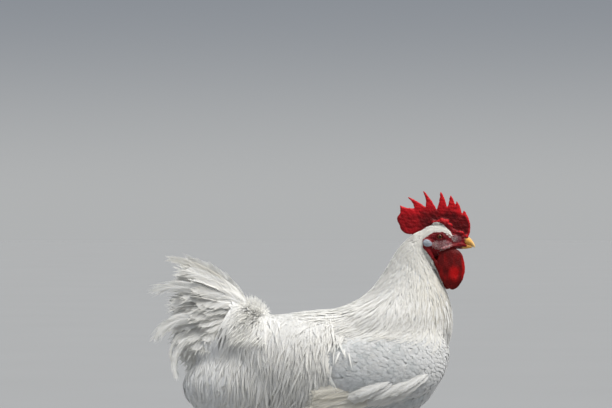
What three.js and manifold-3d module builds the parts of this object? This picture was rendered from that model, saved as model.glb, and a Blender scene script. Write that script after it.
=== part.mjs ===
// A white farmyard cock at life size, standing still in an alert stance.
// Millimetres. +X is towards the beak, +Y is the bird's left, +Z is up, and the floor is Z = 0.
// The solids follow the outline of the plumage, so the wings, thighs and tail include their feathers.

import * as THREE from "three";
import { mergeVertices } from "three/addons/utils/BufferGeometryUtils.js";
import Module from "manifold-3d";

const wasm = await Module();
wasm.setup();

// Driving dimensions.
const GAP = 0.35; // clear space left between neighbouring pieces
const FLOOR_CUT = 40; // depth of the block that trims whatever reaches under the floor
const HEAD_HALF_WIDTH = 17; // across the cheeks
const TRUNK_HALF_WIDTH = 74; // across the ribs, plumage included
const EYE_RADIUS = 6.4;
const EYE_AT = [188.5, 446]; // x, z
const EYE_SIDE = 11.6; // from the middle plane to the eye's centre
const FOOT_SIDE = 41; // from the middle plane to the middle of each foot
const STEP = 13; // how far the right foot stands ahead of the body's balance, and the left foot behind it
const BALANCE_X = 20; // the feet stand either side of this
const SHANK_HEIGHT = 112; // hock joint above the floor
const TOE_RADIUS = 5.2; // front toes at their root

// Materials, one for each finish.
const finish = (color, roughness) => new THREE.MeshStandardMaterial({ color, roughness, metalness: 0 });
const PLUMAGE = finish(0xf2f0ea, 0.8);
const VANE = finish(0xeef0ee, 0.65);
const RED_SKIN = finish(0xa8101a, 0.5);
const FACE_SKIN = finish(0xb03038, 0.55);
const LOBE_SKIN = finish(0xe6e8ea, 0.6);
const HORN_YELLOW = finish(0xe0a63c, 0.4);
const LEG_YELLOW = finish(0xdba83e, 0.5);
const CLAW_HORN = finish(0xb8a07a, 0.45);
const EYE_GLOSS = finish(0x8a3a12, 0.1);

// ---------------------------------------------------------------- shared shaping

// A closed rounded body seen from the side: each row is a station along it and holds
// [upper x, upper z, lower x, lower z, half width, y of the centre].
// A sphere's rings are moved onto the smooth curves through those stations.
function bodyThrough(rows, { sides = 16, rings = 12, square = 1 } = {}) {
  const curve = (pick) => new THREE.CatmullRomCurve3(rows.map((r) => new THREE.Vector3(...pick(r))), false, "centripetal");
  const upper = curve((r) => [r[0], r[1], r[5] ?? 0]);
  const lower = curve((r) => [r[2], r[3], r[5] ?? 0]);
  const width = curve((r) => [r[4], 0, 0]);
  const ball = new THREE.SphereGeometry(1, sides, rings);
  const at = ball.getAttribute("position");
  const soften = (v) => Math.sign(v) * Math.abs(v) ** square;
  for (let i = 0; i < at.count; i++) {
    const along = Math.acos(THREE.MathUtils.clamp(at.getY(i), -1, 1)) / Math.PI;
    const around = Math.atan2(at.getZ(i), at.getX(i));
    const ring = along < 1e-6 || along > 1 - 1e-6 ? 0 : 1;
    const top = upper.getPoint(along);
    const low = lower.getPoint(along);
    const up = (soften(Math.cos(around)) * ring + 1) / 2;
    const across = soften(Math.sin(around)) * ring * Math.max(width.getPoint(along).x, 0);
    const side = top.z + across;
    at.setXYZ(i, THREE.MathUtils.lerp(low.x, top.x, up), side, THREE.MathUtils.lerp(low.y, top.y, up));
  }
  return ball;
}

// The geometry with shared corners, pushed out along its normals by the given distance.
function welded(geometry, outward = 0) {
  const bare = geometry.clone();
  bare.deleteAttribute("normal");
  bare.deleteAttribute("uv");
  const merged = mergeVertices(bare, 1e-3);
  if (outward === 0) return merged;
  merged.computeVertexNormals();
  const at = merged.getAttribute("position");
  const normal = merged.getAttribute("normal");
  const sign = volumeOf(merged) < 0 ? -1 : 1;
  for (let i = 0; i < at.count; i++) {
    at.setXYZ(
      i,
      at.getX(i) + sign * outward * normal.getX(i),
      at.getY(i) + sign * outward * normal.getY(i),
      at.getZ(i) + sign * outward * normal.getZ(i),
    );
  }
  merged.deleteAttribute("normal");
  return merged;
}

// Signed volume of a closed indexed geometry: negative when its faces point inwards.
function volumeOf(merged) {
  const at = merged.getAttribute("position");
  const [a, b, c] = [new THREE.Vector3(), new THREE.Vector3(), new THREE.Vector3()];
  let sum = 0;
  for (let i = 0; i < merged.index.count; i += 3) {
    a.fromBufferAttribute(at, merged.index.getX(i));
    b.fromBufferAttribute(at, merged.index.getX(i + 1));
    c.fromBufferAttribute(at, merged.index.getX(i + 2));
    sum += a.dot(b.cross(c)) / 6;
  }
  return sum;
}

// A manifold solid of a geometry, optionally grown outwards.
function solid(geometry, outward = 0) {
  const merged = welded(geometry, outward);
  const triVerts = new Uint32Array(merged.index.array);
  if (volumeOf(merged) < 0) {
    for (let i = 0; i < triVerts.length; i += 3) {
      [triVerts[i + 1], triVerts[i + 2]] = [triVerts[i + 2], triVerts[i + 1]];
    }
  }
  const vertProperties = new Float32Array(merged.getAttribute("position").array);
  return new wasm.Manifold(new wasm.Mesh({ numProp: 3, vertProperties, triVerts }));
}

// The geometry less every cutter, keeping only its largest body.
function cut(geometry, ...cutters) {
  const whole = cutters.reduce((left, cutter) => left.subtract(cutter), solid(geometry));
  return whole.decompose().sort((a, b) => b.volume() - a.volume())[0];
}

// A named mesh of a manifold solid or of a plain geometry.
function piece(name, shape, material) {
  let geometry = shape;
  if (!shape.isBufferGeometry) {
    const made = shape.getMesh();
    const count = made.vertProperties.length / made.numProp;
    const points = new Float32Array(count * 3);
    for (let i = 0; i < count; i++) {
      points.set(made.vertProperties.subarray(i * made.numProp, i * made.numProp + 3), i * 3);
    }
    geometry = new THREE.BufferGeometry();
    geometry.setAttribute("position", new THREE.BufferAttribute(points, 3));
    geometry.setIndex(new THREE.BufferAttribute(made.triVerts, 1));
  }
  geometry.computeVertexNormals();
  const mesh = new THREE.Mesh(geometry, material);
  mesh.name = name;
  return mesh;
}

// Mirrors a geometry to the other side of the bird's middle plane.
const mirrored = (geometry) => geometry.clone().scale(1, -1, 1);

// Wraps a flat part of the bird's left side round the body: its upper and lower edges turn in by the given depth.
function wrapped(geometry, middleZ, reach, depth) {
  const at = geometry.getAttribute("position");
  for (let i = 0; i < at.count; i++) {
    at.setY(i, at.getY(i) - depth * ((at.getZ(i) - middleZ) / reach) ** 2);
  }
  return geometry;
}

// Both sides of a paired part: side is 1 on the bird's left and -1 on its right.
const SIDES = [
  ["right", -1],
  ["left", 1],
];

const cock = new THREE.Group();

// ---------------------------------------------------------------- head, beak and eyes

const headShape = bodyThrough(
  [
    [143, 431, 143, 431, 0],
    [145, 442, 152, 421, 11],
    [156, 452, 166, 414, 16],
    [172, 463, 184, 416, HEAD_HALF_WIDTH],
    [190, 466, 202, 423, HEAD_HALF_WIDTH - 1],
    [206, 459, 213, 427, 13.5],
    [218, 452, 220, 430, 9.5],
    [227, 448, 226, 431.5, 6.6],
    [229, 440, 229, 440, 0],
  ],
  { sides: 14, rings: 11 },
);

const upperBeakShape = bodyThrough(
  [
    [216, 444, 216, 444, 0],
    [217, 449.5, 217, 436.4, 6],
    [226, 449.3, 226, 434.8, 7.4],
    [234, 445.2, 234, 433.2, 5.9],
    [239.5, 438.8, 238.8, 431.6, 3.6],
    [242.5, 432.4, 241, 429.6, 1.3],
    [242, 429.6, 242, 429.6, 0],
  ],
  { sides: 12, rings: 8 },
);

const lowerBeakShape = bodyThrough(
  [
    [214, 431, 214, 431, 0],
    [215, 439, 215, 427.5, 5.4],
    [225, 437.5, 225, 427.2, 5.8],
    [233, 435.4, 233, 428.2, 4.3],
    [237.5, 432.6, 237, 429, 2.4],
    [239.2, 430.6, 239.2, 430.6, 0],
  ],
  { sides: 10, rings: 6 },
);

const eyeShape = (side) =>
  new THREE.SphereGeometry(EYE_RADIUS, 10, 7).translate(EYE_AT[0], side * EYE_SIDE, EYE_AT[1]);
const eyeCutters = SIDES.map(([, side]) => solid(eyeShape(side), GAP));
const headGrown = solid(headShape, GAP);

cock.add(piece("head", cut(headShape, ...eyeCutters), FACE_SKIN));
const upperBeak = cut(upperBeakShape, headGrown);
cock.add(piece("beak_upper", upperBeak, HORN_YELLOW));
cock.add(piece("beak_lower", cut(lowerBeakShape, headGrown, solid(upperBeakShape, GAP)), HORN_YELLOW));
for (const [word, side] of SIDES) cock.add(piece(`eye_${word}`, eyeShape(side), EYE_GLOSS));

// ---------------------------------------------------------------- comb

// The single comb is an upright blade with finger-like spikes. Each row is a spike:
// [bow of its front edge x, z, tip x, z, bow of its rear edge x, z, valley behind it x, z].
const COMB_SPIKES = [
  [234.5, 474, 226, 485, 224.8, 481, 222.3, 478.3],
  [221.8, 490, 214.8, 499.5, 213.5, 492, 212.6, 488],
  [211.8, 503, 205.6, 508, 203.8, 497, 200.4, 485.4],
  [199, 503, 190.5, 513.4, 191, 500, 185.3, 484.6],
  [180.5, 499, 164.4, 514.8, 172.2, 500.5, 169.2, 489],
  [158.5, 498.5, 141.6, 505.5, 154.5, 495, 152, 488],
  [139.5, 485.5, 130, 492.6, 132.5, 486, 130, 479],
];
// The rounded rear lobe and its lower edge, x and z, down to where the nape meets it.
const COMB_LOBE = [
  [125.4, 476],
  [126.4, 469],
  [130.2, 463],
  [130.6, 457.5],
  [137, 451.6],
  [145, 449.6],
];
const COMB_HALF_THICKNESS = 3.4; // at the base, thinning to about a third of this at the spike tips
const COMB_BASE_Z = 452;
const COMB_TOP_Z = 514;

function combOutline() {
  const outline = new THREE.Shape();
  outline.moveTo(226, 441);
  outline.bezierCurveTo(233, 444, 236, 452, 235.2, 462);
  for (const [frontX, frontZ, tipX, tipZ, rearX, rearZ, valleyX, valleyZ] of COMB_SPIKES) {
    outline.quadraticCurveTo(frontX, frontZ, tipX, tipZ);
    outline.quadraticCurveTo(rearX, rearZ, valleyX, valleyZ);
  }
  for (const [x, z] of COMB_LOBE) outline.lineTo(x, z);
  outline.bezierCurveTo(158, 448, 170, 456, 190, 455);
  outline.bezierCurveTo(204, 451, 212, 443, 226, 441);
  return outline;
}

const combShape = new THREE.ExtrudeGeometry(combOutline(), {
  depth: COMB_HALF_THICKNESS,
  bevelThickness: COMB_HALF_THICKNESS / 2,
  bevelSize: 0.9,
  bevelOffset: -0.9,
  bevelSegments: 1,
  curveSegments: 2,
});
combShape.translate(0, 0, -COMB_HALF_THICKNESS / 2).rotateX(Math.PI / 2);
{
  // The blade thins upwards, and its rear lobe leans a little to the bird's left.
  const at = combShape.getAttribute("position");
  for (let i = 0; i < at.count; i++) {
    const rise = THREE.MathUtils.clamp((at.getZ(i) - COMB_BASE_Z) / (COMB_TOP_Z - COMB_BASE_Z), 0, 1);
    const rear = THREE.MathUtils.clamp((175 - at.getX(i)) / 50, 0, 1);
    at.setY(i, at.getY(i) * (1.25 - 0.75 * rise) + 3 * rear * rear + 1.5 * rise * Math.sin(at.getX(i) / 11));
  }
}
cock.add(piece("comb", cut(combShape, headGrown, solid(upperBeakShape, GAP)), RED_SKIN));

// ---------------------------------------------------------------- wattles and ear lobes

// A wattle hangs from the corner of the jaw as a flat drop. back and out shift it rearwards and sideways.
const wattleShape = (side, back, out) =>
  bodyThrough(
    [
      [204 - back, 430, 204 - back, 430, 0, side * (out - 3)],
      [214 - back, 428, 190 - back, 424, 2.6, side * (out - 2)],
      [223 - back, 418, 185 - back, 412, 3.1, side * out],
      [226.5 - back, 402, 185 - back, 398, 3.4, side * (out + 1.5)],
      [224.5 - back, 386, 190 - back, 383, 3.6, side * (out + 2)],
      [218 - back, 373, 199 - back, 371.5, 3.2, side * (out + 2)],
      [209 - back, 366, 209 - back, 366, 0, side * (out + 1.5)],
    ],
    { sides: 10, rings: 9 },
  );
const wattles = { right: wattleShape(-1, 0, 12), left: wattleShape(1, 8, 12) };

// The ear lobe is a pale oval cushion behind and below the eye.
const lobeShape = (side) =>
  new THREE.SphereGeometry(1, 12, 8).scale(8.4, 3.2, 6.2).rotateY(0.3).translate(170.8, side * (HEAD_HALF_WIDTH - 1.2), 436.4);

// ---------------------------------------------------------------- neck

const neckShape = bodyThrough(
  [
    [170, 457, 170, 457, 0],
    [156, 453, 171, 446, 13],
    [142, 443.5, 165, 428, 19],
    [126, 427, 175, 408, 23.5],
    [112, 404, 186, 388, 29],
    [92, 372, 199, 366, 39],
    [64, 347, 207.5, 340, 52],
    [30, 336, 209, 312, 63],
    [8, 318, 203, 284, 64],
    [30, 290, 186, 262, 50],
    [110, 262, 110, 262, 0],
  ],
  { sides: 18, rings: 13 },
);
const neckGrown = solid(neckShape, GAP);

for (const [word, side] of SIDES) {
  cock.add(piece(`wattle_${word}`, cut(wattles[word], headGrown, neckGrown, solid(lowerBeakShape, GAP)), RED_SKIN));
  cock.add(piece(`earlobe_${word}`, cut(lobeShape(side), headGrown, solid(wattles[word], GAP), neckGrown), LOBE_SKIN));
}
const lobesGrown = SIDES.map(([, side]) => solid(lobeShape(side), GAP));
cock.add(piece("neck", cut(neckShape, headGrown, solid(combShape, GAP), ...lobesGrown), PLUMAGE));

// ---------------------------------------------------------------- trunk and stern

const trunkShape = bodyThrough(
  [
    [-128, 290, -128, 290, 0],
    [-118, 322, -126, 246, 34],
    [-92, 328, -104, 206, 52],
    [-50, 329, -60, 178, 66],
    [0, 335, -4, 165, TRUNK_HALF_WIDTH],
    [60, 337, 60, 160, TRUNK_HALF_WIDTH + 2],
    [116, 330, 112, 165, TRUNK_HALF_WIDTH],
    [160, 318, 154, 184, 69],
    [189, 302, 184, 216, 55],
    [201, 266, 201, 266, 0],
  ],
  { sides: 18, rings: 13, square: 0.9 },
);
const trunkGrown = solid(trunkShape, GAP);

// The stern is the loose fluff under the tail and between the thighs.
const sternShape = bodyThrough(
  [
    [-196, 226, -196, 226, 0],
    [-188, 246, -191, 204, 22],
    [-166, 268, -172, 184, 36],
    [-134, 286, -140, 168, 47],
    [-96, 292, -100, 158, 55],
    [-56, 286, -56, 156, 58],
    [-18, 258, -16, 164, 48],
    [0, 206, 0, 206, 0],
  ],
  { sides: 14, rings: 9 },
);
const sternGrown = solid(sternShape, GAP);

// The trunk is parted into body and saddle by a thin upright slice in front of the rump.
const SADDLE_X = -36;
const slice = new THREE.BoxGeometry(GAP, 400, 400).translate(SADDLE_X, 0, 240);
const trunkParts = cut(trunkShape, neckGrown).subtract(solid(slice)).decompose();
const frontFirst = trunkParts.sort((a, b) => b.boundingBox().max[0] - a.boundingBox().max[0]);
cock.add(piece("trunk", frontFirst[0], PLUMAGE));
cock.add(piece("saddle", frontFirst[1], PLUMAGE));
cock.add(piece("stern_fluff", cut(sternShape, trunkGrown, neckGrown), PLUMAGE));

// ---------------------------------------------------------------- wings

// A folded wing in two parts: the rounded bow over the shoulder, and the closed flight feathers behind and below it.
const WING_MIDDLE_Z = 246; // the widest level of the closed wing
const WING_REACH = 60; // from that level to the wing's upper edge
const wingBowShape = wrapped(
  bodyThrough(
    [
      [203, 272, 203, 272, 0, 36],
      [199, 294, 196, 242, 10, 43],
      [178, 304, 180, 218, 12.5, 57],
      [136, 306, 140, 206, 13.5, 68],
      [92, 304, 96, 202, 13, 73.5],
      [52, 292, 62, 203, 11, 75],
      [24, 268, 40, 210, 8, 74],
      [14, 236, 14, 236, 0, 73],
    ],
    { sides: 12, rings: 10 },
  ),
  WING_MIDDLE_Z,
  WING_REACH,
  9,
);
const wingFlightShape = wrapped(
  bodyThrough(
    [
      [118, 214, 118, 214, 0, 73],
      [100, 226, 104, 199, 8, 76],
      [58, 232, 64, 196, 9.5, 79],
      [22, 232, 26, 197, 9, 79],
      [0, 228, -2, 203, 6, 76],
      [-14, 216, -14, 212, 1.5, 73],
      [-18, 213, -18, 213, 0, 72],
    ],
    { sides: 10, rings: 7 },
  ),
  WING_MIDDLE_Z,
  WING_REACH,
  6,
);

const wingsGrown = {};
for (const [word, side] of SIDES) {
  const placed = (shape) => (side > 0 ? shape : mirrored(shape));
  const bowGrown = solid(placed(wingBowShape), GAP);
  wingsGrown[word] = [bowGrown, solid(placed(wingFlightShape), GAP)];
  cock.add(piece(`wing_${word}_bow`, cut(placed(wingBowShape), trunkGrown, neckGrown), PLUMAGE));
  cock.add(piece(`wing_${word}_flight`, cut(placed(wingFlightShape), bowGrown, trunkGrown, sternGrown), VANE));
}

// ---------------------------------------------------------------- tail

// The body of the tail: the coverts and the closed fan inside them, upright and narrow.
const tailShape = bodyThrough(
  [
    [-66, 296, -66, 296, 0],
    [-76, 335, -84, 262, 34],
    [-106, 346, -118, 246, 42],
    [-135, 370, -152, 240, 38],
    [-156, 390, -178, 258, 30],
    [-172, 400, -196, 286, 22],
    [-188, 400, -203, 320, 14],
    [-199, 393, -205, 350, 7],
    [-204, 374, -204, 374, 0],
  ],
  { sides: 14, rings: 10 },
);
const tailGrown = solid(tailShape, GAP);
cock.add(piece("tail", cut(tailShape, trunkGrown, sternGrown), PLUMAGE));

// The tuft of fluff that stands up where the saddle meets the tail.
const tuftShape = bodyThrough(
  [
    [-62, 320, -62, 320, 0],
    [-68, 334, -74, 312, 17],
    [-82, 347, -92, 312, 24],
    [-99, 352, -108, 320, 22],
    [-112, 345, -112, 345, 0],
  ],
  { sides: 10, rings: 5 },
);
cock.add(piece("tail_tuft", cut(tuftShape, trunkGrown, tailGrown), PLUMAGE));

// Curved tail feathers. A blade leaves its root and turns steadily as it goes:
// [name, root x, root z, heading in degrees above the rear horizon, turn in degrees, length, half width, root y, tip y]
const SICKLES = [
  ["top", -110, 344, 59, -54, 136, 8.5, 4, 11],
  ["upper", -146, 356, 30, -50, 100, 10, 15, 25],
  ["middle", -154, 317, 30, -94, 99, 9.5, 21, 33],
  ["curl", -176, 306, 4, -112, 70, 4.5, 13, 20],
  ["lower", -164, 294, -30, -74, 90, 8, 23, 29],
];
const SICKLE_HALF_THICKNESS = 1.4;
const SICKLE_STATIONS = 7;

function sickleShape(side, [, rootX, rootZ, heading, turn, length, halfWidth, rootY, tipY]) {
  const rows = [];
  let [x, z] = [rootX, rootZ];
  for (let i = 0; i <= SICKLE_STATIONS; i++) {
    const share = i / SICKLE_STATIONS;
    const angle = THREE.MathUtils.degToRad(heading + turn * share);
    const broad = halfWidth * Math.sin(Math.PI * Math.min(1, 0.12 + 0.88 * share) ** 1.25) ** 0.6;
    const half = i === 0 || i === SICKLE_STATIONS ? 0 : broad;
    const thick = i === 0 || i === SICKLE_STATIONS ? 0 : SICKLE_HALF_THICKNESS * (1.3 - 0.9 * share);
    const y = side * THREE.MathUtils.lerp(rootY, tipY, share);
    const [nx, nz] = [Math.sin(angle), Math.cos(angle)];
    rows.push([x + nx * half, z + nz * half, x - nx * half, z - nz * half, thick, y]);
    x -= (Math.cos(angle) * length) / SICKLE_STATIONS;
    z += (Math.sin(angle) * length) / SICKLE_STATIONS;
  }
  return bodyThrough(rows, { sides: 6, rings: 8 });
}

for (const [word, side] of SIDES) {
  const placed = [];
  for (const sickle of SICKLES) {
    const shape = sickleShape(side, sickle);
    const blade = cut(shape, tailGrown, sternGrown, ...placed);
    cock.add(piece(`sickle_${word}_${sickle[0]}`, blade, VANE));
    placed.push(solid(shape, GAP));
  }
}

// ---------------------------------------------------------------- legs and feet

// Each toe: [name, heading in degrees from straight ahead, outwards positive, length of each joint]
const TOES = [
  ["middle", 3, [24, 19, 16]],
  ["inner", -33, [19, 17]],
  ["outer", 36, [17, 14, 12]],
  ["hind", 172, [15, 11]],
];
const CLAW_LENGTH = 13;
const JOINT_DROP = 0.82; // each toe joint is this much thinner than the one before

// A toe lying along +X from its root, fuller at each joint than between them.
function toeShape(joints, radius) {
  const rows = [[-3, 4, -3, 4, 0]];
  let x = 0;
  let r = radius;
  rows.push([x, 2 * r, x, -0.6, r * 1.05]);
  for (const length of joints) {
    rows.push([x + length * 0.5, 1.66 * r, x + length * 0.5, 0.4, r * 0.84]);
    x += length;
    r *= JOINT_DROP;
    rows.push([x, 1.95 * r, x, -0.6, r * 1.06]);
  }
  rows.push([x + 2.5, 3.2, x + 2.5, 3.2, 0]);
  return { shape: bodyThrough(rows, { sides: 8, rings: rows.length - 1 }), reach: x, radius: r };
}

// A claw that goes on from the toe's end, curving down to the floor.
function clawShape(start, radius) {
  return bodyThrough(
    [
      [start - 2, 3, start - 2, 3, 0],
      [start - 1.5, radius * 1.7, start - 1.5, 1, radius * 0.62],
      [start + CLAW_LENGTH * 0.35, radius * 1.75, start + CLAW_LENGTH * 0.35, 1.6, radius * 0.5],
      [start + CLAW_LENGTH * 0.75, radius * 1.2, start + CLAW_LENGTH * 0.7, 0.9, radius * 0.32],
      [start + CLAW_LENGTH, 0.5, start + CLAW_LENGTH, 0.5, 0],
    ],
    { sides: 6, rings: 5 },
  );
}

const underFloor = solid(new THREE.BoxGeometry(900, 600, FLOOR_CUT).translate(0, 0, -FLOOR_CUT / 2));

function addLeg(word, side) {
  const footX = BALANCE_X - side * STEP;
  const y = side * FOOT_SIDE;
  const hockX = footX - 24;

  const thighShape = bodyThrough(
    [
      [hockX + 20, 236, hockX + 20, 236, 0, y * 0.98],
      [hockX - 14, 222, hockX + 62, 214, 31, y * 1.0],
      [hockX - 18, 190, hockX + 58, 182, 31, y * 1.0],
      [hockX - 15, 160, hockX + 38, 156, 22, y],
      [hockX - 11, 134, hockX + 17, 134, 12.5, y],
      [hockX - 2, 117, hockX + 4, 117, 7, y],
      [hockX + 1, 113, hockX + 1, 113, 0, y],
    ],
    { sides: 10, rings: 8 },
  );
  const shankShape = bodyThrough(
    [
      [hockX, SHANK_HEIGHT + 18, hockX, SHANK_HEIGHT + 18, 0, y],
      [hockX - 7, SHANK_HEIGHT + 10, hockX + 8, SHANK_HEIGHT + 11, 6.4, y],
      [hockX - 9, SHANK_HEIGHT - 2, hockX + 9, SHANK_HEIGHT, 7.6, y],
      [hockX - 4, SHANK_HEIGHT - 22, hockX + 11, SHANK_HEIGHT - 20, 5.6, y],
      [hockX + 6, 56, hockX + 19, 58, 5.2, y],
      [hockX + 13, 26, hockX + 28, 29, 6, y],
      [hockX + 14, 12, hockX + 34, 14, 8.6, y],
      [hockX + 16, 1, hockX + 33, 0, 7.6, y],
      [hockX + 25, -3, hockX + 25, -3, 0, y],
    ],
    { sides: 8, rings: 10 },
  );
  const shankGrown = solid(shankShape, GAP);
  cock.add(piece(`thigh_${word}`, cut(thighShape, trunkGrown, sternGrown, shankGrown, ...wingsGrown[word]), PLUMAGE));
  cock.add(piece(`shank_${word}`, cut(shankShape, underFloor), LEG_YELLOW));

  const taken = [shankGrown];
  for (const [name, heading, joints] of TOES) {
    const rootRadius = name === "hind" ? TOE_RADIUS * 0.78 : TOE_RADIUS;
    const toe = toeShape(joints, rootRadius);
    const place = new THREE.Matrix4()
      .makeTranslation(footX, y, 0)
      .multiply(new THREE.Matrix4().makeRotationZ(THREE.MathUtils.degToRad(heading * side)));
    toe.shape.applyMatrix4(place);
    const claw = clawShape(toe.reach, toe.radius).applyMatrix4(place);
    cock.add(piece(`toe_${word}_${name}`, cut(toe.shape, underFloor, ...taken), LEG_YELLOW));
    cock.add(piece(`claw_${word}_${name}`, cut(claw, underFloor, solid(toe.shape, GAP)), CLAW_HORN));
    taken.push(solid(toe.shape, GAP));
  }

  // The spur grows from the inner rear face of the shank and curves up.
  const spurShape = bodyThrough(
    [
      [hockX + 16, 44, hockX + 16, 44, 0, y - side * 2],
      [hockX + 8, 49, hockX + 10, 39, 4.4, y - side * 4],
      [hockX, 49, hockX - 1, 42.5, 3, y - side * 8],
      [hockX - 8, 52, hockX - 10, 48, 1.7, y - side * 11],
      [hockX - 14, 56, hockX - 14, 56, 0, y - side * 13],
    ],
    { sides: 6, rings: 5 },
  );
  cock.add(piece(`spur_${word}`, cut(spurShape, shankGrown), CLAW_HORN));
}

for (const [word, side] of SIDES) addLeg(word, side);

// The frame's origin is the middle of the whole bird's footprint, on the floor.
const box = new THREE.Box3().setFromObject(cock);
cock.position.set(-(box.min.x + box.max.x) / 2, -(box.min.y + box.max.y) / 2, -box.min.z);

export default cock;
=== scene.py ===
# A white farmyard cock, standing: skin, eyes, bill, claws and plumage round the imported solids, with its floor
# and lights. Metres. +X is towards the bill, +Y is the bird's left, +Z is up, and the floor is Z = 0.

import math
import bmesh
import bpy
import numpy as np
from mathutils import Matrix, Vector
from mathutils.bvhtree import BVHTree
from mathutils.kdtree import KDTree


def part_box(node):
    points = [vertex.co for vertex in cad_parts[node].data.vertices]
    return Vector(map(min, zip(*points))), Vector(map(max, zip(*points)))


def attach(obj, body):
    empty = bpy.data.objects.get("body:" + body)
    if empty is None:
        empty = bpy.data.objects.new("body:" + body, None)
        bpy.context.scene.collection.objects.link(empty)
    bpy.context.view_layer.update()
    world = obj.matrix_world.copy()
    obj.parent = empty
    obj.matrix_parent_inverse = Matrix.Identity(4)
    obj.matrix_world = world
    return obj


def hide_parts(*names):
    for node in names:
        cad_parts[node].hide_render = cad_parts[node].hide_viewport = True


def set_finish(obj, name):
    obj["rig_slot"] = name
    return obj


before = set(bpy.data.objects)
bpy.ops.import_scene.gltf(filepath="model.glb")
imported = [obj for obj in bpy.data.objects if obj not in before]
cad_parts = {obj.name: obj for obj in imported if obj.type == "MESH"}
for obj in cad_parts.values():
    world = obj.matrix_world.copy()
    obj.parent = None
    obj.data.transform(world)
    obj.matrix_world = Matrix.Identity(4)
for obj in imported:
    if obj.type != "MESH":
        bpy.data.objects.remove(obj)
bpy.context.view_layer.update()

# ------------------------------------------------------------------ skin
# One unbroken skin of comb, face, wattles, body and scaled legs. It grows from the flesh solids, rounded and
# run together, then drawn in under the plumage by the depth of the coat, and left where it is on the bare
# parts.
MM = 0.001
SIDES = (("right", -1), ("left", 1))
BARE = ["head", "comb", "wattle_right", "wattle_left", "earlobe_right", "earlobe_left"]
BARE += [n for n in sorted(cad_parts) if n.startswith(("shank_", "toe_"))]
FEATHERED = ["neck", "trunk", "saddle", "stern_fluff", "tail", "wing_right_bow", "wing_left_bow"]
FEATHERED += ["thigh_right", "thigh_left"]
HEAD_REACH = 86 * MM  # the skin is meshed finer inside this distance of the head's middle
HEAD_MAGNIFIED = 4.2
SKIN_MESH = 3.6 * MM  # size of the skin's faces on the body, and this over HEAD_MAGNIFIED on the head
OVERLAP = 0.5 * MM  # each solid grows by this, so that neighbours run together


def middle_of(node):
    low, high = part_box(node)
    return (low + high) / 2


def field_of(data, field, width=1, kind=np.float32):
    """One field of a mesh's points, edges or corners as an array, a row for each."""
    flat = np.empty(len(data) * width, kind)
    data.foreach_get(field, flat)
    return flat.reshape(-1, width)


def points_of(mesh):
    return field_of(mesh.vertices, "co", 3).astype(float)


def normals_of(mesh):
    return field_of(mesh.vertex_normals, "vector", 3).astype(float)


def move_points(mesh, places):
    mesh.vertices.foreach_set("co", np.asarray(places, np.float32).ravel())
    mesh.update()


def new_object(bm, name):
    """An object made of a bmesh, which it uses up."""
    mesh = bpy.data.meshes.new(name)
    bm.to_mesh(mesh)
    bm.free()
    obj = bpy.data.objects.new(name, mesh)
    bpy.context.scene.collection.objects.link(obj)
    return obj


def discard(obj):
    spent = obj.data
    bpy.data.objects.remove(obj)
    bpy.data.meshes.remove(spent)


def applied(obj):
    """The object with its modifiers made real."""
    mesh = bpy.data.meshes.new_from_object(obj.evaluated_get(bpy.context.evaluated_depsgraph_get()))
    obj.modifiers.clear()
    spent = obj.data
    obj.data = mesh
    bpy.data.meshes.remove(spent)
    return obj


def rounded(obj, levels):
    """The object with its facets smoothed away."""
    obj.modifiers.new("Round", "SUBSURF").levels = levels
    obj.modifiers["Round"].render_levels = levels
    return applied(obj)


def rounded_copy(node, levels, sharp):
    """A solid with its facets smoothed away. Edges sharper than the given degrees stay as rims."""
    bm = bmesh.new()
    bm.from_mesh(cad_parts[node].data)
    bmesh.ops.remove_doubles(bm, verts=bm.verts[:], dist=0.01 * MM)
    crease = bm.edges.layers.float.new("crease_edge")
    for edge in bm.edges:
        if edge.is_manifold and edge.calc_face_angle() > math.radians(sharp):
            edge[crease] = 1.0
    return rounded(new_object(bm, node + "_round"), levels)


def joined(pieces, name):
    """One object of several, which it uses up."""
    bm = bmesh.new()
    for piece in pieces:
        bm.from_mesh(piece.data)
        discard(piece)
    return new_object(bm, name)


def mounted(piece, slot, *nodes):
    """Gives a finished piece its slot, puts it in the place of the nodes it stands for, and fixes it to the
    bird."""
    if nodes:
        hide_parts(*nodes)
    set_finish(piece, slot)
    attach(piece, "root")


def magnified(places, back=False):
    """Spreads the space round the head, so that an even mesh there is finer once it is put back."""
    arm = places - HEAD_MIDDLE
    far = np.linalg.norm(arm, axis=1, keepdims=True) + 1e-9
    gain = HEAD_REACH * (HEAD_MAGNIFIED - 1)
    if back:
        true = np.where(far < HEAD_REACH * HEAD_MAGNIFIED, far / HEAD_MAGNIFIED, far - gain)
    else:
        true = np.where(far < HEAD_REACH, far * HEAD_MAGNIFIED, far + gain)
    return HEAD_MIDDLE + arm * true / far


def eyelids(word, side):
    """The two lids: an oval fleshy ring round the eye."""
    ring_radius, lid_radius, out_from_eye = 5.9 * MM, 1.25 * MM, 4.6 * MM
    bm = bmesh.new()
    bmesh.ops.create_circle(bm, segments=10, radius=lid_radius)
    bmesh.ops.translate(bm, verts=bm.verts[:], vec=(ring_radius, 0, 0))
    mid = (0, 0, 0)
    bmesh.ops.rotate(bm, verts=bm.verts[:], matrix=Matrix.Rotation(math.pi / 2, 3, "X"), cent=mid)
    bmesh.ops.spin(bm, geom=bm.edges[:], axis=(0, 0, 1), cent=mid, angle=math.tau, steps=40, use_merge=True)
    bmesh.ops.recalc_face_normals(bm, faces=bm.faces[:])
    bmesh.ops.scale(bm, verts=bm.verts[:], vec=(1.08, 0.72, 1))
    bmesh.ops.transform(bm, verts=bm.verts[:], matrix=Matrix.Rotation(math.radians(90), 4, "X"))
    place = middle_of(f"eye_{word}") + Vector((0, side * out_from_eye, 0))
    bmesh.ops.translate(bm, verts=bm.verts[:], vec=place)
    return new_object(bm, "lids")


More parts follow.
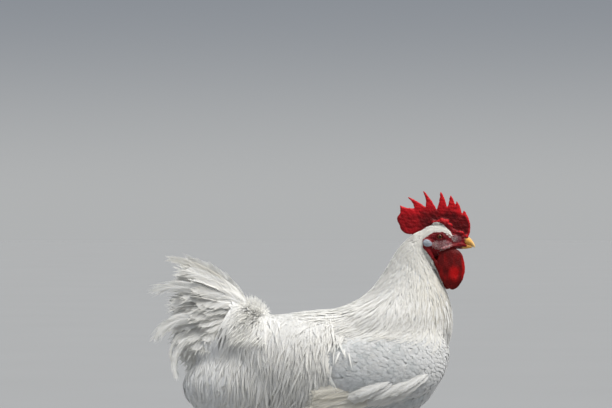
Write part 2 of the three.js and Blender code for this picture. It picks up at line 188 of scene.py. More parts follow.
def fold(path, thickness):
    """A roll of slack skin along a path, with its half thickness in millimetres at each point."""
    bm = bmesh.new()
    rim = []
    for k, place in enumerate(path):
        closed = k in (0, len(path) - 1)
        ring = bmesh.ops.create_circle(bm, segments=12, radius=thickness[k] * MM, cap_ends=closed)["verts"]
        heading = path[min(k + 1, len(path) - 1)] - path[max(k - 1, 0)]
        turn = heading.to_track_quat("Z", "Y").to_matrix().to_4x4()
        bmesh.ops.transform(bm, verts=ring, matrix=Matrix.Translation(place) @ turn)
        loop = [edge for edge in bm.edges if edge.verts[0] in ring and edge.verts[1] in ring]
        if rim:
            bmesh.ops.bridge_loops(bm, edges=rim + loop)
        rim = loop
    bmesh.ops.recalc_face_normals(bm, faces=bm.faces[:])
    return rounded(new_object(bm, "fold"), 2)


def throat_fold(word, side):
    """The slack red skin that runs from behind the ear lobe down the throat to the root of the wattle."""
    from_lobe = ((-2, -2.5, -3.4), (1.2, -4, -15.4), (9.2, -7, -29.4), (18.7, -9, -40.4))
    path = [middle_of(f"earlobe_{word}") + Vector((x, y * side, z)) * MM for x, y, z in from_lobe]
    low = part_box(f"wattle_{word}")[0]
    path.append(Vector((low.x + 9 * MM, middle_of(f"wattle_{word}").y, low.z + 12 * MM)))
    return fold(path, (2.4, 4.6, 5.0, 3.8, 1.4))


def comb_base(word, side):
    """The thick root of the comb: a row of lumps of red flesh over the front of the skull, down to the bill's
    root."""
    comb_root = (  # x, out from the middle, z and half thickness, mm
        (172, 2.5, 466, 2.6), (180, 4.0, 470, 3.8), (188, 5.0, 471, 4.6), (196, 6.4, 468, 4.6),
        (204, 7.2, 461, 4.2), (211, 7.6, 454, 3.8), (218, 7.2, 450.6, 3.6), (225, 6.0, 448, 3.2),
        (230, 3.8, 445, 2.4),
    )
    step = 0.28  # of the way from one row to the next
    bm = bmesh.new()
    chance = np.random.default_rng(7)
    rows = np.array(comb_root)
    for at in np.arange(0, len(rows) - 1, step):
        k = int(at)
        x, out, z, thick = rows[k] + (rows[k + 1] - rows[k]) * (at - k)
        place = (x + chance.normal(0, 1), side * (out + chance.normal(0, 0.5)), z + chance.normal(0, 1.6))
        place = Matrix.Translation(Vector(place) * MM)
        size = thick * chance.uniform(0.62, 0.95) * MM
        bmesh.ops.create_icosphere(bm, subdivisions=2, radius=size, matrix=place)
    return new_object(bm, "comb_root")


def mouth_corner(word, side):
    """The fold of red skin under the cheek that ends in the corner of the bill."""
    corner = ((190, 14.5, 427), (203, 12.8, 431), (214, 9.6, 434), (223, 6.8, 434), (230, 4.6, 432))
    return fold([Vector((x, side * y, z)) * MM for x, y, z in corner], (1.6, 2.8, 2.8, 2.4, 1.4))


HEAD_MIDDLE = np.array(middle_of("head"))
flesh = []
for node in BARE + FEATHERED:
    fine = node in ("head", "comb") or node.startswith(("wattle", "earlobe"))
    flesh.append(rounded_copy(node, 3 if fine else 2, 75 if node in BARE else 52))
flesh += [shaped(*side) for shaped in (eyelids, throat_fold, comb_base, mouth_corner) for side in SIDES]
skin = joined(flesh, "skin")
move_points(skin.data, magnified(points_of(skin.data) + OVERLAP * normals_of(skin.data)))
remesh = skin.modifiers.new("One", "REMESH")
remesh.mode = "VOXEL"
remesh.voxel_size = SKIN_MESH
applied(skin)
move_points(skin.data, magnified(points_of(skin.data), back=True))


def eased(values, start, end):
    """0 up to start and 1 from end on, smoothly between."""
    t = np.clip((values - start) / (end - start), 0, 1)
    return t * t * (3 - 2 * t)


# Each point of the skin belongs to the solid that it lies nearest to.
flesh_names = BARE + FEATHERED
outline = points_of(skin.data)
corners, faces, face_owner = [], [], []
for k, name in enumerate(flesh_names):
    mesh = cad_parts[name].data
    base = sum(len(c) for c in corners)
    corners.append(points_of(mesh))
    faces += [[base + v for v in face.vertices] for face in mesh.polygons]
    face_owner += [k] * len(mesh.polygons)
tree = BVHTree.FromPolygons(np.concatenate(corners).tolist(), faces)
owner = np.array([face_owner[tree.find_nearest(place)[2]] for place in outline.tolist()])
ends = field_of(skin.data.edges, "vertices", 2, np.int32)
neighbours = np.bincount(ends.ravel(), minlength=len(outline)).clip(1)


def mean(values):
    """The mean of each point's neighbours over the edges of the skin."""
    flat = values.reshape(len(outline), -1)
    total = np.empty_like(flat)
    a, b = ends.T
    for k in range(flat.shape[1]):
        total[:, k] = np.bincount(a, flat[b, k], len(flat)) + np.bincount(b, flat[a, k], len(flat))
    return (total / neighbours[:, None]).reshape(values.shape)


def share_of(*starts):
    """How much each point of the skin belongs to the nodes whose names begin so, blended over a few
    millimetres."""
    chosen = [k for k, name in enumerate(flesh_names) if name.startswith(starts)]
    share = np.isin(owner, chosen).astype(float)
    for _ in range(3):
        share = mean(share)
    return share


comb_share, lobe_share = share_of("comb"), share_of("earlobe")
wattle_share, foot_share = share_of("wattle"), share_of("shank", "toe")
eye_middles = [np.array(middle_of(f"eye_{word}")) for word, _ in SIDES]
from_eye = np.minimum(*[np.linalg.norm((outline - eye) * (1, 0, 1), axis=1) for eye in eye_middles])

# The feathers' edge runs in an arch over the eye to a point in front of it, and from there back under the
# comb's root. Behind the eye it turns down behind the ear lobe and follows the throat.
ox, oy, oz = outline.T
eye_x, eye_z = eye_middles[0][0], eye_middles[0][2]
lobe_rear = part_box("earlobe_right")[0].x
CROWN_X = (0.162, 0.170, 0.175, 0.181, 0.190, 0.198, 0.205, 0.2085)
CROWN_TOP = (0.455, 0.461, 0.464, 0.468, 0.4665, 0.4605, 0.4545, 0.4465)
CROWN_FOOT = (0.444, 0.4475, 0.4515, 0.4535, 0.4540, 0.4530, 0.4490, 0.4445)
crown = eased(oz - np.interp(ox, CROWN_X, CROWN_FOOT), -0.8 * MM, 0.8 * MM)
crown *= eased(np.interp(ox, CROWN_X, CROWN_TOP) - oz, -0.8 * MM, 0.8 * MM) * (ox < CROWN_X[-1])
FACE_FOOT = 0.385  # below this the feathers close round the throat
throat = lobe_rear + 0.5 * MM + 0.7 * np.clip(0.430 - oz, 0, 1)
behind = eased(throat - ox, -1.5 * MM, 1.5 * MM)
bald = np.clip(comb_share + wattle_share + lobe_share + foot_share, 0, 1)
tail_share = share_of("tail")
body_share = share_of("neck", "trunk", "saddle", "stern", "tail", "wing", "thigh")
neck_share = body_share * np.where(oz > FACE_FOOT, behind, 1)
feathered = np.maximum(neck_share, np.maximum(crown, behind * (oz > FACE_FOOT)))
feathered = np.clip(feathered, 0, 1) * (1 - bald)
for _ in range(2):
    feathered = mean(feathered)

# The plumage's outline is smoothed over the joins, and the skin under it is drawn in a little at a time.
COAT_DEPTH = 8.5 * MM
TAIL_DEPTH = 5 * MM  # less in the tail, which is thin
for _ in range(30):
    outline += (mean(outline) - outline) * body_share[:, None] * 0.6
move_points(skin.data, outline)
outline_normals = normals_of(skin.data)
quads = field_of(skin.data.loops, "vertex_index", 1, np.int32).reshape(-1, 4)
on_head = np.clip(1 - np.linalg.norm(outline - HEAD_MIDDLE, axis=1) / (70 * MM), 0, 1)
depth = COAT_DEPTH * feathered * (1 - 0.88 * eased(on_head, 0.1, 0.75))
depth *= 1 - tail_share * (1 - TAIL_DEPTH / COAT_DEPTH)
DRAWS = 8
under = outline.copy()
for _ in range(DRAWS):
    under = under - normals_of(skin.data) * depth[:, None] / DRAWS
    for _ in range(3):
        under += (mean(under) - under) * (feathered * 0.5)[:, None]
    move_points(skin.data, under)

# The flesh of the tail is only its short root, which holds the long quills.
TAIL_ROOT = np.array((-0.098, 0, 0.322))
TAIL_FLESH = 0.5  # what is left of the tail's reach without its feathers
pull = tail_share * eased(TAIL_ROOT[0] - under[:, 0], 0, 0.045) * (1 - TAIL_FLESH)
pull = (TAIL_ROOT - under) * pull[:, None]
for _ in range(20):
    pull = mean(pull)
under += pull
move_points(skin.data, under)


# Folds and grain of the bare parts, worked in along the skin's own normals.
def grain(places, size, seed, stretch=(1, 1, 1)):
    """Smooth random relief between -1 and 1, about size across, from a few crossed waves."""
    wobble = np.random.default_rng(seed)
    total = np.zeros(len(places))
    for _ in range(14):
        direction = wobble.normal(size=3)
        direction *= np.array(stretch) / np.linalg.norm(direction)
        wave = places @ direction * (2 * math.pi / size) * wobble.uniform(0.7, 1.5)
        shift = wobble.uniform(0, math.tau)
        total += np.sin(wave + shift + 0.8 * np.sin(wave * 0.37 + wobble.uniform(0, 6)))
    return total / 6


face_share = np.clip(1 - feathered - comb_share - wattle_share - lobe_share - foot_share, 0, 1)
face_share *= (np.linalg.norm(outline - HEAD_MIDDLE, axis=1) < 75 * MM)
relief = comb_share * (0.36 * grain(outline, 2.8 * MM, 11) + 0.34 * grain(outline, 8 * MM, 12))
long_folds = grain(outline, 13 * MM, 14, (1.3, 0.5, 0.6))
relief += wattle_share * (0.24 * grain(outline, 2.6 * MM, 13) + 0.5 * long_folds)
relief += lobe_share * 0.28 * grain(outline, 4 * MM, 15)
relief += face_share * (0.34 * grain(outline, 2.6 * MM, 16) + 0.5 * grain(outline, 7 * MM, 17, (0.6, 1, 1.6)))
eye_wrinkles = np.cos((from_eye - 8.4 * MM) * 2 * math.pi / (2.6 * MM))
relief += face_share * 0.35 * eye_wrinkles * eased(from_eye, 0.014, 0.009)
under += normals_of(skin.data) * relief[:, None] * MM
under[:, 2] = under[:, 2].clip(0)
move_points(skin.data, under)

# The part under the plumage needs far fewer faces than the face and comb.
SKIN_FACES = 150000
thin_out = skin.vertex_groups.new(name="thin_out")
weights = feathered.clip(0, 1)
for step in range(11):
    chosen = np.flatnonzero(np.round(weights * 10) == step)
    thin_out.add(chosen.tolist(), step / 10, "REPLACE")
decimate = skin.modifiers.new("Thinner", "DECIMATE")
decimate.ratio = SKIN_FACES / (2 * len(skin.data.polygons))
decimate.vertex_group = "thin_out"
decimate.vertex_group_factor = 10
applied(skin)
skin.vertex_groups.clear()


def tree_of(places):
    """A tree that finds which of the places are near a point."""
    tree = KDTree(len(places))
    for k, place in enumerate(places.tolist()):
        tree.insert(place, k)
    tree.balance()
    return tree


under_tree = tree_of(under)
kept = np.array([under_tree.find(place)[1] for place in points_of(skin.data).tolist()])


def marked(mesh, name, values):
    """Stores one number for each point of the mesh, for its material to read."""
    mesh.attributes.new(name, "FLOAT", "POINT").data.foreach_set("value", np.asarray(values, np.float32))


def smooth_faces(mesh):
    mesh.polygons.foreach_set("use_smooth", np.ones(len(mesh.polygons), bool))


# The comb is painted brightest in its spikes, its front rim and its swollen root, and a wattle in its low
# middle
# and front: partly the blood's own colour, partly painted light where the sun catches the rims and shines
# through the wattle. The comb's lower body and a wattle's top by the throat are painted darker, as shade.
valleys = 0.4865 - 0.35 * np.clip(ox - 0.212, 0, 1)
comb_blood_and_light = eased(oz - valleys + 3 * MM * grain(outline, 11 * MM, 31), -13 * MM, 10 * MM)
rear_lobe = 0.45 * eased(0.172 - ox, 0, 0.022)
front_rim = eased(np.hypot(ox - 0.212, (oz - 0.461) * 0.92), 18.5 * MM, 23 * MM) * (ox > 0.214)
swollen_root = eased(np.abs(oy), 5.0 * MM, 8.0 * MM) * eased(oz, 0.443, 0.449)
comb_blood_and_light = np.clip(comb_blood_and_light + rear_lobe + 0.8 * front_rim + 0.8 * swollen_root, 0, 1)
wattle_blood_and_light = 1 - eased(np.hypot(ox - 0.210, (oz - 0.393) * 0.7), 1 * MM, 13 * MM)
wattle_blood_and_light = np.clip(wattle_blood_and_light + 0.6 * eased(ox, 0.2175, 0.2255), 0, 1)
cheek = 1 - eased(np.hypot((ox - eye_x - 4 * MM) / 15, (oz - eye_z + 11 * MM) / 6.5), 0.6 * MM, 1.25 * MM)
eye_ring = 1 - eased(np.hypot((ox - eye_x - 0.5 * MM) / 15, (oz - eye_z) / 7), 0.7 * MM, 1.2 * MM)
lobe_middle = np.array(middle_of("earlobe_right"))
from_lobe = (outline - lobe_middle) * (1, 0, 1)
along_lobe = 0.95 * from_lobe[:, 0] - 0.3 * from_lobe[:, 2]
across_lobe = 0.3 * from_lobe[:, 0] + 0.95 * from_lobe[:, 2]
narrowing = 5.1 - 180 * along_lobe
in_lobe = 1 - eased(np.hypot(along_lobe / 7.2, across_lobe / narrowing), 0.92 * MM, 1.08 * MM)
bill_root = eased(np.hypot(ox - 0.214, (oz - 0.443) * 1.3), 9.5 * MM, 5 * MM)

# Scutes run in rows across the front of each shank and along the top of each toe, counted outwards from the
# ankle.
SCUTE = 4.4 * MM
from_ankle = np.full(len(outline), 1.0)
for word, _ in SIDES:
    shank = points_of(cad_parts[f"shank_{word}"].data)
    ankle = shank[shank[:, 2] < shank[:, 2].min() + 4 * MM].mean(axis=0)
    from_ankle = np.minimum(from_ankle, np.linalg.norm(outline - ankle, axis=1))
shin = eased(np.maximum(outline_normals[:, 0] * (oz > 0.03), outline_normals[:, 2]), 0.0, 0.45)
for name, share in (
    ("comb", comb_share),
    ("comb_blood_and_light", comb_blood_and_light),
    ("wattle", wattle_share),
    ("lobe", in_lobe * eased(lobe_share + face_share, 0.2, 0.5)),
    ("wattle_blood_and_light", wattle_blood_and_light),
    ("foot", foot_share),
    ("scute", from_ankle / SCUTE),
    ("shin", shin),
    ("coat", eased(feathered, 0.55, 0.9)),
    ("down", tail_share),
    ("cheek", cheek * face_share),
    ("bill_root", bill_root * face_share),
    ("eye_ring", eye_ring * face_share),
):
    marked(skin.data, name, share[kept])
smooth_faces(skin.data)
mounted(skin, "face_skin", *BARE, *FEATHERED)


class Shade:
    """A socket of a material. Arithmetic on it adds Math nodes, and node() adds any other kind of node."""

    def __init__(self, socket):
        self.socket = socket

    def node(self, kind, settings=None, output=0, **inputs):
        """Adds a node. Its settings come first, then its sockets by name or, as s0, s1 and so on, by
        place."""
        made = self.socket.id_data.nodes.new("ShaderNode" + kind)
        for key, value in (settings or {}).items():
            setattr(made, key, value)
        for key, value in inputs.items():
            into = made.inputs[int(key[1:])] if key[1:].isdigit() else made.inputs[key.replace("_", " ")]
            if isinstance(value, Shade):
                self.socket.id_data.links.new(value.socket, into)
            else:
                into.default_value = value
        return Shade(made.outputs[output])

    def maths(self, operation, a, b=0.0):
        return self.node("Math", {"operation": operation}, s0=a, s1=b)

    def __add__(self, other):
        return self.maths("ADD", self, other)

    __radd__ = __add__

    def __sub__(self, other):
        return self.maths("SUBTRACT", self, other)

    def __rsub__(self, other):
        return self.maths("SUBTRACT", other, self)

    def __mul__(self, other):
        return self.maths("MULTIPLY", self, other)

    __rmul__ = __mul__

    def part(self, axis):
        """One number of a vector: 0 for X, 1 for Y and 2 for Z."""
        return self.node("SeparateXYZ", output=axis, s0=self)

    def mix(self, a, b):
        """Colour a where this is 0 and colour b where it is 1."""
        a, b = (v if isinstance(v, Shade) else (*v, 1) for v in (a, b))
        return self.node("Mix", {"data_type": "RGBA"}, output=2, s0=self, s6=a, s7=b)

    def between(self, low, high):
        """0 up to low and 1 from high on."""
        smooth = {"interpolation_type": "SMOOTHSTEP"}
        return self.node("MapRange", smooth, Value=self, From_Min=low, From_Max=high)


class Finish:
    """A material of one Principled shader. Sockets named here stay as set, and paint() links what varies."""

    def __init__(self, name, **constants):
        self.material = bpy.data.materials.new(name)
        self.material.use_nodes = True
        tree = self.material.node_tree
        self.shader = tree.nodes["Principled BSDF"]
        for key, value in constants.items():
            self.shader.inputs[key.replace("_", " ")].default_value = value
        self.place = Shade(tree.nodes.new("ShaderNodeTexCoord").outputs["Object"])

    def mark(self, name):
        """The numbers stored on the mesh under this name."""
        return self.place.node("Attribute", {"attribute_name": name}, output=2)

    def noise(self, size, detail=3.0, stretch=(1, 1, 1), at=None):
        """Soft random relief from 0 to 1 in patches about size across."""
        spread = self.place.node("Mapping", Vector=at or self.place, Scale=[k / size for k in stretch])
        return self.place.node("TexNoise", Vector=spread, Scale=1.0, Detail=detail)

    def cells(self, size):
        """Distance from the nearest of many random dots, about size apart."""
        spread = self.place.node("Mapping", Vector=self.place, Scale=[1 / size] * 3)
        return self.place.node("TexVoronoi", Vector=spread, Scale=1.0)

    def paint(self, colour=None, roughness=None, relief=None, height=0.5 * MM, on=()):
        links = self.material.node_tree.links
        for value, socket in ((colour, "Base Color"), (roughness, "Roughness")):
            if value is not None:
                links.new(value.socket, self.shader.inputs[socket])
        if relief is not None:
            bump = relief.node("Bump", Height=relief, Distance=height, Strength=1.0)
            links.new(bump.socket, self.shader.inputs["Normal"])
        for piece in on:
            piece.data.materials.clear()
            piece.data.materials.append(self.material)
        return self


COMB_DEEP, COMB_BRIGHT = (0.07, 0.001, 0.002), (0.46, 0.006, 0.011)
WATTLE_DEEP, WATTLE_BRIGHT = (0.085, 0.001, 0.001), (0.50, 0.002, 0.003)
FACE_DEEP, FACE_BRIGHT = (0.07, 0.002, 0.004), (0.26, 0.008, 0.012)
live = Finish(
    "live skin", Subsurface_Weight=0.12, Subsurface_Scale=2 * MM, Coat_Roughness=0.35, Specular_IOR_Level=0.13
)
live.shader.inputs["Subsurface Radius"].default_value = (1.0, 0.25, 0.15)
blood = live.noise(7 * MM, 4.0)
mottle = live.noise(2.2 * MM, 3.0)
pebble = live.cells(0.9 * MM)
folds = live.noise(12 * MM, 2.0, (1.7, 1, 0.6))
# Partly painted light: the comb's red is brighter towards its spikes, rims and root and darker in its body.
comb_red = (live.mark("comb_blood_and_light") * 0.75 + blood * 0.6 - 0.2).between(0.0, 1.0).mix(COMB_DEEP, COMB_BRIGHT)
# Partly painted light: a wattle's red is brighter in its low middle and front and darker by the throat.
glow = live.mark("wattle_blood_and_light") * 0.7 + folds * 0.9 - 0.35
wattle_red = glow.between(0.0, 1.0).mix(WATTLE_DEEP, WATTLE_BRIGHT)
face_red = (mottle * 1.3 - 0.2).mix(FACE_DEEP, FACE_BRIGHT)
face_red = (live.mark("cheek") * (mottle * 1.5 - 0.25)).mix(face_red, (0.50, 0.22, 0.24))
face_red = (live.mark("bill_root") * 0.7).mix(face_red, (0.12, 0.05, 0.06))
face_red = (live.mark("eye_ring") * 0.75).mix(face_red, (0.085, 0.003, 0.005))
colour = live.mark("comb").mix(face_red, comb_red)
colour = live.mark("wattle").mix(colour, wattle_red)
# The ear lobe is painted a dim bluish grey: partly its own bluish white, partly painted shade.
colour = live.mark("lobe").mix(colour, mottle.mix((0.20, 0.23, 0.28), (0.40, 0.42, 0.46)))
step = live.mark("scute").maths("FRACT", live.mark("scute"))
plate = step.between(0.0, 0.16) * (1 - step.between(0.72, 1.0))
scales = live.mark("shin") * plate + (1 - live.mark("shin")) * (1 - live.cells(1.5 * MM))
horn_yellow = live.noise(5 * MM).mix((0.62, 0.33, 0.055), (0.80, 0.50, 0.12))
horn_yellow = (1 - scales).between(0.25, 1.0).mix(horn_yellow, (0.36, 0.17, 0.03))
colour = live.mark("foot").mix(colour, horn_yellow)
colour = live.mark("coat").mix(colour, blood.mix((0.78, 0.75, 0.71), (0.84, 0.82, 0.79)))
colour = live.mark("down").mix(colour, (0.80, 0.79, 0.76))
roughness = 0.38 + 0.22 * mottle
live.paint(colour, roughness, pebble * 0.5 + mottle + live.mark("foot") * scales * 1.6, 0.35 * MM, on=[skin])

# ------------------------------------------------------------------ eyes
# Each eye is a wet ball in its socket, with a clear bulge over a black pupil and a red-brown iris inside a
# dark rim. The lids of the skin hold it.
PUPIL = 1.8 * MM
IRIS = 4.5 * MM
BULGE = 0.9 * MM
for word, side in SIDES:
    low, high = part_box(f"eye_{word}")
    radius = (high.x - low.x) / 2 - 0.35 * MM
    bm = bmesh.new()
    bmesh.ops.create_uvsphere(bm, u_segments=48, v_segments=32, radius=radius)
    for vert in bm.verts:
        front = max(0.0, vert.co.z / radius - 0.62) / 0.38
        vert.co.z += BULGE * front * (2 - front)
    turn = Matrix.Rotation(math.radians(-90 * side), 4, "X")
    bmesh.ops.transform(bm, verts=bm.verts[:], matrix=Matrix.Translation(middle_of(f"eye_{word}")) @ turn)
    eyeball = new_object(bm, f"eyeball_{word}")
    smooth_faces(eyeball.data)
    mounted(eyeball, "eye", f"eye_{word}")
    if word == "right":
        wet = Finish("wet eye", Roughness=0.25, Coat_Weight=0.15, Coat_Roughness=0.05, Specular_IOR_Level=0.1)
        middle = (eye_x + 0.5 * MM, 0, eye_z)
        flat = wet.place.node("VectorMath", {"operation": "MULTIPLY"}, s0=wet.place, s1=(1, 0, 1))
        gap = wet.place.node("VectorMath", {"operation": "DISTANCE"}, output=1, s0=flat, s1=middle)
        streaks = wet.noise(1.1 * MM, 4.0)
        iris = gap.between(PUPIL, IRIS).mix((0.16, 0.045, 0.012), (0.11, 0.022, 0.008))
        iris = (streaks * 0.6).mix(iris, (0.05, 0.012, 0.006))
        iris = gap.between(IRIS - 0.5 * MM, IRIS + 0.2 * MM).mix(iris, (0.012, 0.006, 0.006))
        iris = gap.between(PUPIL - 0.15 * MM, PUPIL + 0.15 * MM).mix((0.004, 0.003, 0.004), iris)
    wet.paint(iris if word == "right" else None, on=[eyeball])

# ------------------------------------------------------------------ bill
# A short stout bill of yellow horn. The upper half hooks over the lower, has a slit nostril in a soft patch
# near its root, and is reddish brown where it leaves the face.
NOSTRIL = Vector((223.0, 0, 443.2)) * MM
bill = []
for node in ("beak_upper", "beak_lower"):
    horn = rounded_copy(node, 3, 80)
    horn.name = node.replace("beak", "bill")
    places = points_of(horn.data)
    if node == "beak_upper":
        reach = (places - np.array(NOSTRIL)) * (1, 0, 1)
        slit = np.abs(reach[:, 0] * 0.26 + reach[:, 2] * 0.97)
        along = np.abs(reach[:, 0] * 0.97 - reach[:, 2] * 0.26)
        dent = (1 - eased(slit, 0.2 * MM, 0.9 * MM)) * (1 - eased(along, 1.2 * MM, 2.4 * MM))
        swell = 1 - eased(np.linalg.norm(reach, axis=1), 1.5 * MM, 4.5 * MM)
        places[:, 1] += np.sign(places[:, 1]) * (0.5 * swell - 1.1 * dent) * MM
        move_points(horn.data, places)
    smooth_faces(horn.data)
    mounted(horn, "beak_horn", node)
    bill.append(horn)
horny = Finish(
    "bill horn", Coat_Weight=0.15, Coat_Roughness=0.3, Subsurface_Weight=0.08, Subsurface_Scale=2 * MM
)
horny.shader.inputs["Subsurface Radius"].default_value = (1.0, 0.6, 0.2)
forward, upward = horny.place.part(0), horny.place.part(2)
lines = horny.noise(0.7 * MM, 3.0, (0.12, 1, 1))
cloud = horny.noise(6 * MM, 3.0)
yellow = cloud.mix((0.58, 0.25, 0.03), (0.74, 0.40, 0.075))
yellow = forward.between(0.232, 0.2425).mix(yellow, (0.78, 0.52, 0.20))
root_edge = forward - (upward - 0.44) * 0.35 + (cloud - 0.5) * 3 * MM
yellow = root_edge.between(0.2245, 0.2290).mix((0.19, 0.018, 0.014), yellow)
horny.paint(yellow, 0.32 + 0.2 * lines, lines + cloud * 0.6, 0.18 * MM, on=bill)

# ------------------------------------------------------------------ claws and spurs
# Curved horn sheaths on the toes' ends and the short blunt spurs of a cock behind his shanks, grey-brown in
# soft paler and darker patches, finely mottled darker.
claws = []
for node in sorted(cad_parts):
    if node.startswith(("claw_", "spur_")):
        claw = rounded_copy(node, 2, 80)
        claw.name = node.replace("claw", "toenail").replace("spur", "spur_horn")
        smooth_faces(claw.data)
        mounted(claw, "claw_horn", node)
        claws.append(claw)
nail = Finish("claw horn", Coat_Weight=0.1, Coat_Roughness=0.4)
growth = nail.noise(1.3 * MM, 2.0)
nail_colour = nail.noise(9 * MM, 3.0).mix((0.33, 0.22, 0.12), (0.60, 0.47, 0.30))
nail_colour = (growth * 0.5).mix(nail_colour, (0.22, 0.15, 0.09))
nail.paint(nail_colour, 0.35 + 0.2 * growth, growth, 0.15 * MM, on=claws)

# ------------------------------------------------------------------ the lie of the feathers
# A feather springs from the skin, lies back over the roots of the next and ends on the plumage's outline. Its
# vane is a thin closed leaf of soft barbs either side of a raised shaft.
LIE = np.array((  # a place on the bird's left side, mm, and the way in which the feathers point there
    (205, 5, 458, -1, 0, -0.05), (185, 8, 465, -1, 0, 0), (160, 10, 455, -1, 0, -0.4),
    (140, 15, 440, -0.7, 0, -0.8), (112, 20, 404, -0.65, 0, -0.85), (90, 25, 372, -0.75, 0, -0.7),
    (50, 30, 345, -0.95, 0, -0.3), (8, 30, 334, -1, 0, -0.02), (155, 20, 435, -0.25, 0, -1),
    (150, 25, 400, -0.15, 0.1, -1), (150, 35, 360, -0.1, 0.1, -1), (120, 45, 330, -0.3, 0.3, -1),
    (70, 50, 330, -0.8, 0.3, -0.5), (172, 5, 410, 0.35, 0, -1), (186, 5, 388, 0.4, 0, -1),
    (199, 5, 366, 0.3, 0, -1), (208, 5, 340, 0.1, 0, -1), (208, 10, 310, 0, 0, -1),
    (201, 10, 270, -0.15, 0, -1), (190, 10, 230, -0.4, 0, -1), (165, 15, 190, -0.8, 0, -0.6),
    (175, 45, 300, -0.2, 0.2, -1), (150, 60, 250, -0.5, 0.1, -0.9), (130, 50, 190, -0.85, 0, -0.5),
    (100, 20, 165, -1, 0, -0.1), (20, 20, 160, -1, 0, 0), (-40, 20, 158, -1, 0, 0.05),
    (30, 40, 330, -1, 0.15, -0.1), (-30, 30, 330, -1, 0.2, -0.1), (-80, 20, 328, -1, 0.1, 0.2),
    (20, 65, 300, -0.7, 0.2, -0.7), (-10, 62, 300, -0.45, 0.2, -0.9), (-20, 68, 270, -0.35, 0.1, -1),
    (-50, 55, 305, -0.4, 0.4, -0.9), (-60, 64, 270, -0.25, 0.1, -1), (-60, 60, 225, -0.3, 0, -1),
    (-90, 45, 300, -0.5, 0.3, -0.9), (-95, 50, 260, -0.35, 0.1, -1), (-125, 45, 235, -0.3, 0, -1),
    (-15, 70, 235, -0.35, 0, -1), (-170, 25, 230, -0.35, 0, -1), (-185, 10, 220, -0.25, 0, -1),
    (-120, 20, 170, -0.9, 0, -0.3), (-170, 10, 190, -0.4, 0, -1), (20, 60, 190, -0.4, 0, -1),
    (10, 45, 150, -0.3, 0, -1), (5, 41, 122, -0.2, 0, -1), (190, 55, 280, -0.6, 0.2, -0.7),
    (160, 75, 290, -0.95, 0.1, -0.3), (120, 80, 285, -1, 0, -0.12), (60, 84, 270, -1, 0, -0.15),
    (30, 82, 245, -1, 0, -0.1), (100, 84, 240, -1, 0, -0.2), (150, 76, 235, -0.9, 0, -0.45),
    (110, 80, 212, -0.95, 0, -0.25), (-92, 20, 336, -0.7, 0.1, 0.6), (-110, 20, 348, -0.65, 0.1, 0.75),
    (-140, 20, 375, -0.8, 0.1, 0.6), (-165, 15, 396, -1, 0, 0.25), (-195, 8, 396, -1, 0, -0.15),
    (-120, 35, 320, -0.9, 0.1, 0.4), (-155, 30, 345, -1, 0, 0.1), (-190, 15, 360, -1, 0, -0.35),
    (-112, 40, 292, -0.95, 0, -0.1), (-145, 35, 285, -0.95, 0, -0.4), (-175, 25, 305, -0.85, 0, -0.55),
    (-198, 10, 325, -0.7, 0, -0.75), (-140, 35, 262, -0.5, 0, -0.9),
))
LIE_REACH = 8 * MM  # pairs nearer than this count alike
SPINE = 12 * MM  # half the width of the strip in which they turn from one side's way to the other's


def unit(vectors):
    return vectors / (np.linalg.norm(vectors, axis=-1, keepdims=True) + 1e-12)


def square(vectors, outward):
    """The vectors turned square to the outward ones."""
    return unit(vectors - outward * (vectors * outward).sum(axis=-1, keepdims=True))


LIE_PLACES, LIE_WAYS = LIE[:, :3] * MM, unit(LIE[:, 3:])


def body_lie(places):
    """The way in which the feathers point at each place, the same on both sides of the bird."""
    folded = places * (1, 0, 1) + np.abs(places) * (0, 1, 0)
    gap = np.linalg.norm(folded[:, None] - LIE_PLACES, axis=2)
    weight = 1 / (gap + LIE_REACH) ** 4
    way = weight @ LIE_WAYS / weight.sum(axis=1, keepdims=True)
    way[:, 1] *= np.clip(places[:, 1] / SPINE, -1, 1)
    return unit(way)


def hanging(places):
    """Down the flanks in locks that lean a little together, and out and back over the top, as a cape
    drapes."""
    out = 0.5 * np.clip(places[:, 1] / SPINE, -1, 1)
    lean = -0.22 + 0.2 * grain(places, 30 * MM, 78)
    return unit(np.stack([lean, out, np.full(len(places), -1.0)], axis=1))


# The feathers lie on the outline without the comb and wattles, by its smoothed normals.
soft_normals = outline_normals.copy()
for _ in range(14):
    soft_normals = mean(soft_normals)
soft_normals = unit(soft_normals)
body_faces = quads[(comb_share + wattle_share)[quads].max(axis=1) <= 0.5]
body_tree = BVHTree.FromPolygons(outline.tolist(), body_faces.tolist())
corner = outline[body_faces]
face_area = np.linalg.norm(np.cross(corner[:, 2] - corner[:, 0], corner[:, 3] - corner[:, 1]), axis=1) / 2


def nearest(places):
    """The nearest points of the outline, and the outward normals there."""
    found = [body_tree.find_nearest(place) for place in places.tolist()]
    spots = np.array([hit[0] for hit in found])
    corners = body_faces[[hit[2] for hit in found]]
    gap = np.linalg.norm(outline[corners] - spots[:, None], axis=2) + 1e-6
    return spots, unit((soft_normals[corners] / gap[:, :, None]).sum(axis=1))


